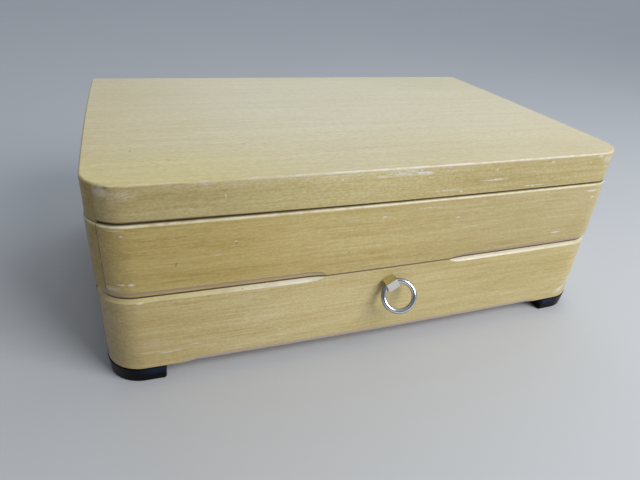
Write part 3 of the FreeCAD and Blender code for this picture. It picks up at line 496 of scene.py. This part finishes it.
wood_case_back = wood("wood_case_back", "x", 61.0, 0.97, 0.05, edges=[(Z_RIM - 0.0012, Z_RIM + 0.0004, 0.0, 0.35)], worn=0.2)
# painted light and shade on the drawer front: the pale lower cove stands for its highlight, the dark strip on its top
# for the gap's shadow
wood_drawer_front = wood("wood_drawer_front", "x", 71.0, 1.035, 0.0, blue=1.0, varnish_and_light_tint=((0.87, 0.83, 0.84), (0.945, 0.95, 1.00)), tone_and_light_patches=[((-0.040, -0.0965, 0.034), (0.125, 0.05, 0.06), (1.23, 1.31, 1.58)), ((0.050, -0.0965, 0.034), (0.060, 0.05, 0.06), (1.04, 1.05, 1.10)), ((-0.164, -0.092, 0.060), (0.036, 0.05, 0.20), (0.76, 0.74, 0.72))], lit_cove=(Z_FRONT1 - 0.0040, Z_FRONT1 - 0.0001),
                         shade=[(Z_FRONT1, 0.0010, 0.0056)], edges=[(Z_FRONT0 - 0.0002, Z_FRONT0 + 0.0008, 0.0, 0.40)], worn=0.40, bare=(Z_FRONT0 - 0.0002, Z_FRONT0 + 0.0038),
                         pale_marks=[mark(-139.4, 53.7, 2.6, 0.9, 2, strength=0.60, broken=0),
                                     mark(-127.2, 19.3, 9.5, 0.55, 2, strength=0.60, broken=0.34),
                                     mark(-113.4, 22.2, 5.0, 0.9, 5, strength=0.5, broken=0.44),
                                     mark(-65.3, 23.3, 2.0, 0.6, 0, strength=0.5, broken=0),
                                     mark(-133.1, 24.9, 18.0, 5.0, 0, strength=0.18, broken=0.54),
                                     mark(143.0, 16.3, 7.0, 3.0, 30, strength=0.75, broken=0.44),
                                     mark(150.0, 22.2, 4.0, 4.5, 0, strength=0.5, broken=0.48),
                                     mark(-35.6, 39.0, 1.0, 0.5, 0, strength=0.35, broken=0)],
                         dark_marks=[mark(-104.8, 53.2, 1.1, 0.5, 0, strength=0.7),
                                     mark(-86.9, 54.7, 0.7, 0.5, 0, strength=0.5),
                                     mark(60.9, 31.2, 0.5, 0.4, 0, strength=0.35)])
for n in ("lid_top_veneer",):
    dress(n, wood_top_lit)
dress("lid_front_rail", wood_lid_front)
dress("lid_left_rail", wood_lid_left_shaded)
dress("lid_right_rail", wood_lid_right)
dress("lid_back_rail", wood_lid_back)
dress("case_front", wood_case_front)
dress("case_side_left", wood_case_left_shaded)
dress("case_side_right", wood_case_right)
dress("case_back", wood_case_back)
dress("drawer_front", wood_drawer_front)


# ---------------------------------------------------------------- other woods
def raw_wood(name, grain, seed, light, dark, layers=False):
    """Planed wood without varnish, or thin plywood whose edge shows its layers."""
    g = Graph(name)
    co = g.coord()
    x, y, z = g.split(co)
    a, b, c = (x, y, z) if grain == "x" else (y, x, z)
    bands = g.noise(g.join(g.math("MULTIPLY_ADD", a, 5.0, seed), g.mul(b, 120.0), g.mul(c, 120.0)), 1.0, 3.0, 0.55, 0.3)
    streak = g.noise(g.join(g.math("MULTIPLY_ADD", a, 26.0, seed), g.mul(b, 700.0), g.mul(c, 700.0)), 1.0, 3.0, 0.6)
    pores = g.step(g.noise(g.join(g.math("MULTIPLY_ADD", a, 130.0, seed), g.mul(b, 2400.0), g.mul(c, 2400.0)), 1.0, 1.0), 0.64, 0.74)
    colour = g.mix(g.add(g.mul(bands, 0.55), g.mul(streak, 0.45)), dark, light)
    colour = g.mix(g.mul(pores, 0.35), colour, tuple(k * 0.5 for k in dark))
    if layers:
        nz = g.math("ABSOLUTE", g.split(g.coord("Normal"))[2])
        ply = g.math("FRACT", g.mul(z, 1000.0))
        colour = g.mix(g.mul(g.step(nz, 0.3, 0.6, 1.0, 0.0), g.step(ply, 0.35, 0.5)), colour, tuple(k * 0.6 for k in dark))
    g.set(Base_Color=colour, Roughness=g.math("MULTIPLY_ADD", streak, 0.2, 0.52), IOR=1.45,
          Normal=g.bump(g.sub(streak, g.mul(pores, 0.6)), 0.18, 0.0004))
    return g.material


inner_side = raw_wood("inner_wood_side", "y", 5.0, (0.70, 0.56, 0.34), (0.55, 0.40, 0.21))
inner_back = raw_wood("inner_wood_back", "x", 9.0, (0.70, 0.56, 0.34), (0.55, 0.40, 0.21))
ply = raw_wood("plywood", "x", 15.0, (0.64, 0.48, 0.29), (0.46, 0.31, 0.165), True)
for n in ("drawer_side_left", "drawer_side_right"):
    dress(n, inner_side)
for n in ("drawer_back", "drawer_stop"):
    dress(n, inner_back)
for n in ("lid_core_panel", "compartment_floor", "bottom_panel", "drawer_bottom"):
    dress(n, ply)


# ---------------------------------------------------------------- metals, glass, moulding
def metal(name, colour, rough, spread, dull=None, dull_amount=0.0, brushed=None, ring=None, plate=None):
    g = Graph(name)
    co = g.coord()
    big = g.noise(g.scaled(co, (260.0,) * 3), 1.0, 3.0)
    small = g.noise(g.scaled(co, brushed or (1500.0,) * 3), 1.0, 2.0)
    tint = colour
    if dull:
        tint = g.mix(g.mul(g.step(big, 0.42, 0.70), dull_amount), colour, dull)
    else:
        tint = g.mix(g.step(big, 0.30, 0.75, 0.0, 0.12), colour, tuple(k * 0.8 for k in colour))
    if plate:                    # painted reflection: a gold tint on faces turned up, standing for the wood they reflect, and a dark tint on faces turned left and down, standing for the dark surroundings they reflect
        n = g.coord("Normal")
        for direction, colour_there, amount in plate:
            d = g.node("ShaderNodeVectorMath")
            d.operation = "DOT_PRODUCT"
            g.put(d.inputs[0], n)
            d.inputs[1].default_value = direction
            tint = g.mix(g.step(d.outputs["Value"], 0.55, 0.92, 0.0, amount), tint, colour_there)
    if ring:                     # painted reflection: the chrome is darkened in bands round the ring's outside, bluish, and inside, standing for dark surroundings reflected there
        c, outer, inner = ring
        n = g.node("ShaderNodeVectorMath")
        n.operation = "DISTANCE"
        g.put(n.inputs[0], co)
        n.inputs[1].default_value = c
        far = n.outputs["Value"]
        tint = g.mix(g.step(far, outer - 0.0009, outer - 0.0002, 0.0, 0.85), tint, (0.14, 0.17, 0.26))
        tint = g.mix(g.step(far, inner + 0.0002, inner + 0.0008, 0.80, 0.0), tint, (0.20, 0.20, 0.22))
    r = g.math("MULTIPLY_ADD", g.add(g.mul(big, 0.5), g.mul(small, 0.5)), spread, rough - spread * 0.5)
    g.set(Base_Color=tint, Metallic=1.0, Roughness=r, Normal=g.bump(small, 0.04, 0.0001))
    return g.material


# the ring's dark outer and inner bands are painted reflections
chrome = metal("chrome_plate", (0.95, 0.96, 0.98), 0.10, 0.05, ring=((0.0054021, -0.1055213, 0.0404213), 0.0108, 0.0076))
# the loop's gold top and dark left edge are painted reflections
satin = metal("satin_nickel_plate", (0.96, 0.92, 0.87), 0.26, 0.10, brushed=(300.0, 300.0, 3000.0),
              plate=[((-0.48481, 0.0, 0.87462), (0.70, 0.65, 0.36), 0.9), ((-0.87462, 0.0, -0.48481), (0.20, 0.17, 0.13), 0.9)])
steel = metal("zinc_plated_steel", (0.62, 0.62, 0.63), 0.36, 0.16)
brass = metal("brass_plate", (0.80, 0.585, 0.235), 0.27, 0.16, (0.42, 0.28, 0.12), 0.65)
dress("ring_pull", chrome)
dress("pull_loop", satin)
for n in ("foot_screws", "pull_stud", "pull_washer", "pull_nut"):
    dress(n, steel)
for n in NODES:
    if n.startswith("hinge_"):
        dress(n, brass)

g = Graph("silvered_glass")
co = g.coord()
edge = g.step(g.math("ABSOLUTE", g.split(g.coord("Normal"))[2]), 0.05, 0.30, 1.0, 0.0)
haze = g.noise(g.scaled(co, (60.0, 60.0, 60.0)), 1.0, 3.0, 0.6)
x, y, z = g.split(co)
rim = g.most(g.step(g.math("ABSOLUTE", x), 0.110, 0.116), g.step(g.math("ABSOLUTE", g.sub(y, 0.007)), 0.059, 0.065))
foxing = g.mul(rim, g.step(g.noise(g.scaled(co, (420.0,) * 3), 1.0, 3.0, 0.7), 0.58, 0.70))
tint = g.mix(edge, (0.90, 0.925, 0.925), (0.18, 0.30, 0.26))
tint = g.mix(g.mul(foxing, 0.55), tint, (0.30, 0.26, 0.20))
g.set(Base_Color=tint, Metallic=1.0, Roughness=g.add(g.step(haze, 0.35, 0.75, 0.012, 0.05), g.mul(foxing, 0.25)))
dress("lid_mirror", g.material)

g = Graph("black_moulding")
co = g.coord()
z = g.split(co)[2]
cloud = g.noise(g.scaled(co, (70.0,) * 3), 1.0, 3.0)
grain = g.noise(g.scaled(co, (1400.0,) * 3), 1.0, 2.0)
dust = g.mul(g.step(z, 0.0, 0.0035, 1.0, 0.0), g.step(g.noise(g.scaled(co, (300.0,) * 3), 1.0, 4.0, 0.65), 0.45, 0.70))
colour = g.mix(cloud, (0.0022, 0.0022, 0.0024), (0.0060, 0.0060, 0.0062))
colour = g.mix(g.mul(dust, 0.10), colour, (0.16, 0.145, 0.125))
# painted reflection: a bluish patch on the upper front of the feet near their inner ends, standing for the window
# reflected in the black gloss
ax = g.math("ABSOLUTE", g.split(co)[0])
painted_blue_reflection = g.mul(g.step(z, 0.0035, 0.0070), g.step(ax, 0.136, 0.148, 1.0, 0.0), g.step(g.split(co)[1], -0.088, -0.084, 1.0, 0.0))
colour = g.mix(g.mul(painted_blue_reflection, 0.8), colour, (0.012, 0.020, 0.044))
g.set(Base_Color=colour, Roughness=g.add(g.math("MULTIPLY_ADD", cloud, 0.16, 0.24), g.mul(dust, 0.25)), IOR=1.5, Specular_IOR_Level=0.08,
      Normal=g.bump(grain, 0.06, 0.0002))
black = g.material
for n in NODES:
    if n.startswith("foot_") and n != "foot_screws":
        dress(n, black)


# ---------------------------------------------------------------- velvet
def velvet(name, seed, deep=(0.115, 0.008, 0.016), lit=(0.265, 0.022, 0.042)):
    g = Graph(name)
    co = g.coord()
    pile = g.noise(g.scaled(co, (2600.0,) * 3, (seed,) * 3), 1.0, 2.0)
    nap = g.noise(g.scaled(co, (38.0, 52.0, 46.0), (seed, 2.0, seed)), 1.0, 3.0, 0.55, 0.6)
    brush = g.noise(g.scaled(co, (240.0, 90.0, 160.0), (seed,) * 3), 1.0, 3.0, 0.6)
    v = g.add(g.mul(nap, 0.55), g.add(g.mul(brush, 0.25), g.mul(pile, 0.20)))
    colour = g.mix(g.step(v, 0.34, 0.66), deep, lit)
    worn = g.step(nap, 0.66, 0.82)
    colour = g.mix(g.mul(worn, 0.35), colour, (0.34, 0.075, 0.085))
    g.set(Base_Color=colour, Roughness=g.math("MULTIPLY_ADD", pile, 0.1, 0.85), IOR=1.35, Specular_IOR_Level=0.2,
          Sheen_Weight=0.75, Sheen_Roughness=0.35, Sheen_Tint=(1.0, 0.42, 0.46, 1.0), Normal=g.bump(g.add(g.mul(pile, 0.7), g.mul(brush, 0.8)), 0.45, 0.0005))
    return g.material


plush = velvet("velvet_lining", 3.0)
plush_floor = velvet("velvet_floor", 8.0)
plush_roll = velvet("velvet_rolls", 14.0)


def mesh_piece(name, verts, faces, body, material, nodes):
    me = bpy.data.meshes.new(name)
    me.from_pydata([tuple(v) for v in verts], [], faces)
    me.validate()
    me.update()
    me.materials.append(material)
    for p in me.polygons:
        p.use_smooth = True
    o = bpy.data.objects.new(name, me)
    scene.collection.objects.link(o)
    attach(o, body)
    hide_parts(*nodes)
    return o


def spread(a, b, r, n):
    """Stations from a to b, close together within r of both ends."""
    ends = [0.0, 0.14, 0.34, 0.62, 1.0]
    mid = [a + r + (b - a - 2 * r) * i / n for i in range(n + 1)]
    return [a + r * e for e in ends[:-1]] + mid + [b - r * e for e in reversed(ends[:-1])]


def shell(xs, ys, zs):
    """The closed quad surface of a box on the given stations."""
    verts, index, faces = [], {}, []
    nx, ny, nz = len(xs) - 1, len(ys) - 1, len(zs) - 1

    def vid(i, j, k):
        key = (i, j, k)
        if key not in index:
            index[key] = len(verts)
            verts.append(Vector((xs[i], ys[j], zs[k])))
        return index[key]

    for i in range(nx):
        for j in range(ny):
            faces.append((vid(i, j, nz), vid(i + 1, j, nz), vid(i + 1, j + 1, nz), vid(i, j + 1, nz)))
            faces.append((vid(i, j, 0), vid(i, j + 1, 0), vid(i + 1, j + 1, 0), vid(i + 1, j, 0)))
    for i in range(nx):
        for k in range(nz):
            faces.append((vid(i, 0, k), vid(i + 1, 0, k), vid(i + 1, 0, k + 1), vid(i, 0, k + 1)))
            faces.append((vid(i, ny, k), vid(i, ny, k + 1), vid(i + 1, ny, k + 1), vid(i + 1, ny, k)))
    for j in range(ny):
        for k in range(nz):
            faces.append((vid(0, j, k), vid(0, j, k + 1), vid(0, j + 1, k + 1), vid(0, j + 1, k)))
            faces.append((vid(nx, j, k), vid(nx, j + 1, k), vid(nx, j + 1, k + 1), vid(nx, j, k + 1)))
    return verts, faces


def rounded(verts, lo, hi, r):
    """Rounds the edges of points on a box's surface."""
    out = []
    for v in verts:
        q = Vector((min(max(v[i], lo[i] + r[i]), hi[i] - r[i]) for i in range(3)))
        d = v - q
        e = Vector((d[i] / r[i] if r[i] > 0 else 0.0 for i in range(3)))
        if e.length > 1e-9:
            e.normalize()
            v = q + Vector((e[i] * r[i] for i in range(3)))
        out.append(v)
    return out


def soft_board(lo, hi, r, pitch, ripple, seed):
    """A card covered in cloth: rounded edges, and faces that are not quite flat."""
    lo, hi = Vector(lo), Vector(hi)
    size = hi - lo
    rr = [min(r, size[i] * 0.49) for i in range(3)]
    stations = [spread(lo[i], hi[i], rr[i], max(1, int(size[i] / pitch))) for i in range(3)]
    verts, faces = shell(*stations)
    verts = rounded(verts, lo, hi, rr)
    thin = min(range(3), key=lambda i: size[i])
    mid = (lo + hi) / 2
    out = []
    for v in verts:
        w = v.copy()
        side = 1 if v[thin] > mid[thin] else -1
        p = v * 42.0 + Vector((seed, seed * 2.0, 0.0))
        k = noise.noise(p) * 0.6 + noise.noise(p * 2.7) * 0.4
        near = abs(v[thin] - mid[thin]) / (size[thin] / 2)
        w[thin] -= side * ripple * (0.5 + 0.5 * k) * near
        if v[2] > hi[2] - rr[2] * 1.01:
            w[2] -= ripple * 0.9 * (0.5 + 0.5 * noise.noise(v * 65.0 + Vector((seed, 0, 3.0))))
        out.append(w)
    return out, faces


def board_piece(name, body, nodes, r=0.0011, pitch=0.006, ripple=0.00022, seed=1.0, material=None, boxes=None):
    verts, faces = [], []
    for i, (lo, hi) in enumerate(boxes or [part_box(n) for n in nodes]):
        v, f = soft_board(lo, hi, r, pitch, ripple, seed + i * 3.7)
        base = len(verts)
        verts += v
        faces += [tuple(k + base for k in q) for q in f]
    return mesh_piece(name, verts, faces, body, material or plush, nodes)


for i, n in enumerate(("lining_front", "lining_back", "lining_left", "lining_right")):
    board_piece("velvet_" + n, "case", [n], 0.0009, 0.006, 0.00016, 1.0 + i)
for i, n in enumerate(("divider_long", "divider_front", "divider_back_left", "divider_back_right")):
    board_piece("velvet_" + n, "case", [n], 0.0014, 0.006, 0.00022, 7.0 + i)
for i, n in enumerate(("drawer_divider_long", "drawer_divider_left", "drawer_divider_right")):
    board_piece("velvet_" + n, "drawer", [n], 0.0014, 0.006, 0.00022, 17.0 + i)
lo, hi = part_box("drawer_wall_lining")
t = 0.0015
board_piece("velvet_drawer_walls", "drawer", ["drawer_wall_lining"], 0.0007, 0.006, 0.00012, 29.0, boxes=[
    ((lo.x, lo.y, lo.z), (hi.x, lo.y + t, hi.z)), ((lo.x, hi.y - t, lo.z), (hi.x, hi.y, hi.z)),
    ((lo.x, lo.y + t, lo.z), (lo.x + t, hi.y - t, hi.z)), ((hi.x - t, lo.y + t, lo.z), (hi.x, hi.y - t, hi.z))])


def floor_pad(name, node, body, seed, walls_x, walls_y):
    """A thin foam pad: flat below, tucked in at its edges, its top pressed a little lower in an uneven, noisy pattern.
    """
    lo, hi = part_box(node)
    xs = spread(lo.x, hi.x, 0.0016, 74)
    ys = spread(lo.y, hi.y, 0.0016, 46)
    zs = [lo.z, lo.z + 0.0005, lo.z + 0.0010, lo.z + 0.0015, hi.z]
    verts, faces = shell(xs, ys, zs)
    verts = rounded(verts, lo, hi, (0.0015, 0.0015, 0.0012))
    out = []
    for v in verts:
        if v.z > lo.z + 0.0008:
            k = noise.noise(v * 26.0 + Vector((seed, 0, 0))) * 0.65 + noise.noise(v * 75.0 + Vector((0, seed, 0))) * 0.35
            v = v.copy()
            v.z -= 0.00030 * (0.5 + 0.5 * k) * min(1.0, (v.z - lo.z - 0.0008) / 0.0008)
        out.append(v)
    o = mesh_piece(name, out, faces, body, plush_floor, [node])
    return o


floor_pad("velvet_compartment_pad", "compartment_pad", "case", 2.0, (), ())
floor_pad("velvet_drawer_pad", "drawer_pad", "drawer", 5.0, (), ())


# ring rolls: four stuffed rolls side by side
def puff(o, voxel, pressure, cap, frames):
    """Blows a closed cloth up a little, then keeps the shape."""
    m = o.modifiers.new("remesh", "REMESH")
    m.mode, m.voxel_size = "VOXEL", voxel
    dg = bpy.context.evaluated_depsgraph_get()
    o.data = bpy.data.meshes.new_from_object(o.evaluated_get(dg))
    o.modifiers.clear()
    rest = [v.co.copy() for v in o.data.vertices]
    cloth = o.modifiers.new("cloth", "CLOTH")
    s = cloth.settings
    s.use_pressure, s.uniform_pressure_force = True, pressure
    s.effector_weights.gravity = 0.0
    s.quality = 4
    cloth.point_cache.frame_start, cloth.point_cache.frame_end = 1, frames
    for f in range(1, frames + 1):
        scene.frame_set(f)
    dg = bpy.context.evaluated_depsgraph_get()
    moved = [v.co.copy() for v in o.evaluated_get(dg).data.vertices]
    o.modifiers.clear()
    scene.frame_set(1)
    for v, a, b in zip(o.data.vertices, rest, moved):
        d = b - a
        v.co = a + d * min(1.0, cap / max(d.length, 1e-9))
    o.data.update()


def ring_roll_set():
    lo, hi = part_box("ring_rolls")
    n, pitch = 4, (0.064) / 4.0
    verts, faces = [], []
    for i in range(n):
        y0 = -0.084 + i * pitch + 0.0003
        a = Vector((lo.x, y0, lo.z))
        b = Vector((hi.x, y0 + pitch - 0.0006, hi.z))
        inset = 0.0009
        a2, b2 = a + Vector((inset, inset, 0.0)), b - Vector((inset, inset, inset))
        xs = spread(a2.x, b2.x, 0.005, 60)
        ys = spread(a2.y, b2.y, 0.0066, 1)
        zs = spread(a2.z, b2.z, 0.0066, 4)
        v, f = shell(xs, ys, zs)
        v = rounded(v, a2, b2, (0.004, 0.0064, 0.0066))
        me = bpy.data.meshes.new("roll")
        me.from_pydata([tuple(p) for p in v], [], f)
        me.update()
        o = bpy.data.objects.new("roll", me)
        scene.collection.objects.link(o)
        puff(o, 0.0021, 4.0, 0.0010, 14)
        base = len(verts)
        mid = (a + b) / 2
        for p in o.data.vertices:
            q = p.co.copy()
            k = noise.noise(Vector((q.x * 55.0, i * 9.1, q.z * 30.0)))
            q.y += (mid.y - q.y) * 0.05 * (0.5 + 0.5 * k)
            if q.z > lo.z + 0.010:
                q.z -= 0.0006 * (0.5 + 0.5 * noise.noise(Vector((q.x * 40.0, i * 5.3, 1.0))))
            # flat underneath, and never outside the roll's own place
            q = Vector((min(max(q[j], a[j]), b[j]) for j in range(3)))
            verts.append(q)
        faces += [tuple(k + base for k in p.vertices) for p in o.data.polygons]
        bpy.data.objects.remove(o)
    o = mesh_piece("velvet_ring_rolls", verts, faces, "case", plush_roll, ["ring_rolls"])
    s = o.modifiers.new("smooth", "SUBSURF")
    s.levels = s.render_levels = 1
    return o


ring_roll_set()


# padded frame round the mirror, sewn at its mitred corners
def mirror_frame():
    lo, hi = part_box("lid_lining")
    mlo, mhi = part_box("lid_mirror")
    ins = 0.00015
    outer = [(lo.x, lo.y), (hi.x, lo.y), (hi.x, hi.y), (lo.x, hi.y)]
    inner = [(mlo.x - ins, mlo.y - ins), (mhi.x + ins, mlo.y - ins), (mhi.x + ins, mhi.y + ins), (mlo.x - ins, mhi.y + ins)]
    m, n = 14, 44
    verts, faces = [], []
    thick = hi.z - lo.z
    for s in range(4):
        o0, o1, i0, i1 = (Vector((*p, 0)) for p in (outer[s], outer[(s + 1) % 4], inner[s], inner[(s + 1) % 4]))
        rows = []
        us = [0.0, 0.012, 0.03, 0.06] + [0.1 + 0.8 * k / (n - 8) for k in range(n - 7)] + [0.94, 0.97, 0.988, 1.0]
        ws = [0.5 - 0.5 * math.cos(math.pi * k / m) for k in range(m + 1)]
        for u in us:
            row = []
            for w in ws:
                p = (o0.lerp(o1, u)).lerp(i0.lerp(i1, u), w)
                crown = max(0.0, 1.0 - (2 * w - 1) ** 4) ** 0.5
                end = min(u, 1 - u)
                seam = 1.0 - math.exp(-end / 0.010)
                k = 0.5 + 0.5 * noise.noise(Vector((p.x * 60.0, p.y * 60.0, s * 3.0)))
                h = thick * (0.36 + 0.64 * crown * (0.50 + 0.50 * seam)) - 0.00035 * k * crown
                row.append((p.x, p.y, hi.z - h))
            rows.append(row)
        base = len(verts)
        cols = m + 1
        verts += [p for row in rows for p in row]
        back = len(verts)
        verts += [(p[0], p[1], hi.z) for row in rows for p in row]
        count = len(us)
        for a in range(count - 1):
            for b in range(m):
                q = [base + a * cols + b, base + a * cols + b + 1, base + (a + 1) * cols + b + 1, base + (a + 1) * cols + b]
                faces.append(tuple(q))
                faces.append(tuple(reversed([k - base + back for k in q])))
        for a in range(count - 1):
            for b, flip in ((0, False), (m, True)):
                q = [base + a * cols + b, base + (a + 1) * cols + b, back + (a + 1) * cols + b, back + a * cols + b]
                faces.append(tuple(reversed(q)) if flip else tuple(q))
        for b in range(m):
            for a, flip in ((0, True), (count - 1, False)):
                q = [base + a * cols + b, base + a * cols + b + 1, back + a * cols + b + 1, back + a * cols + b]
                faces.append(tuple(q) if flip else tuple(reversed(q)))
    o = mesh_piece("velvet_mirror_frame", verts, faces, "lid", plush, ["lid_lining"])
    return o


mirror_frame()

# ---------------------------------------------------------------- floor, light
me = bpy.data.meshes.new("floor")
me.from_pydata([(-9, -9, 0), (9, -9, 0), (9, 9, 0), (-9, 9, 0)], [], [(0, 1, 2, 3)])
floor = bpy.data.objects.new("floor", me)
scene.collection.objects.link(floor)
g = Graph("pale_floor")
tone = g.noise(g.scaled(g.coord(), (3.0,) * 3), 1.0, 2.0)
g.set(Base_Color=g.mix(tone, (0.60, 0.60, 0.60), (0.63, 0.63, 0.625)), Roughness=0.8)
me.materials.append(g.material)


def area(name, at, aim, size, power, colour):
    d = bpy.data.lights.new(name, "AREA")
    d.shape, d.size, d.size_y = "RECTANGLE", size[0], size[1]
    d.energy, d.color = power, colour
    o = bpy.data.objects.new(name, d)
    scene.collection.objects.link(o)
    o.location = at
    o.rotation_mode = "QUATERNION"
    o.rotation_quaternion = (Vector(aim) - Vector(at)).to_track_quat("-Z", "Y")
    return o


area("window", (0.60, -0.82, 0.74), (0.0, 0.0, 0.05), (0.70, 0.70), 11.5, (0.96, 0.985, 1.02))

# soft surroundings: dim at the left, brighter at the right, brightest low at the back right
world = bpy.data.worlds.new("studio")
scene.world = world
world.use_nodes = True
wt = world.node_tree
wt.nodes.clear()
wo = wt.nodes.new("ShaderNodeOutputWorld")
wb = wt.nodes.new("ShaderNodeBackground")
wc = wt.nodes.new("ShaderNodeTexCoord")


def toward(direction, lo, hi, low, high):
    """A colour that rises from low to high toward a direction."""
    d = wt.nodes.new("ShaderNodeVectorMath")
    d.operation = "DOT_PRODUCT"
    d.inputs[1].default_value = Vector(direction).normalized()
    m = wt.nodes.new("ShaderNodeMapRange")
    m.interpolation_type = "SMOOTHSTEP"
    m.inputs[1].default_value, m.inputs[2].default_value = lo, hi
    c = wt.nodes.new("ShaderNodeMix")
    c.data_type = "RGBA"
    c.inputs[6].default_value, c.inputs[7].default_value = (*low, 1.0), (*high, 1.0)
    wt.links.new(wc.outputs["Generated"], d.inputs[0])
    wt.links.new(d.outputs["Value"], m.inputs[0])
    wt.links.new(m.outputs[0], c.inputs[0])
    return c.outputs[2]


wa = wt.nodes.new("ShaderNodeMix")
wa.data_type, wa.blend_type = "RGBA", "ADD"
wa.inputs[0].default_value = 1.0
wt.links.new(toward((0.72, 0.42, 0.55), -0.8, 0.9, (0.080, 0.080, 0.082), (0.34, 0.38, 0.44)), wa.inputs[6])
wt.links.new(toward((0.50, 0.80, 0.36), 0.55, 0.97, (0.0, 0.0, 0.0), (0.62, 0.68, 0.77)), wa.inputs[7])
wt.links.new(wa.outputs[2], wb.inputs[0])
wb.inputs[1].default_value = 1.0
wt.links.new(wb.outputs[0], wo.inputs[0])
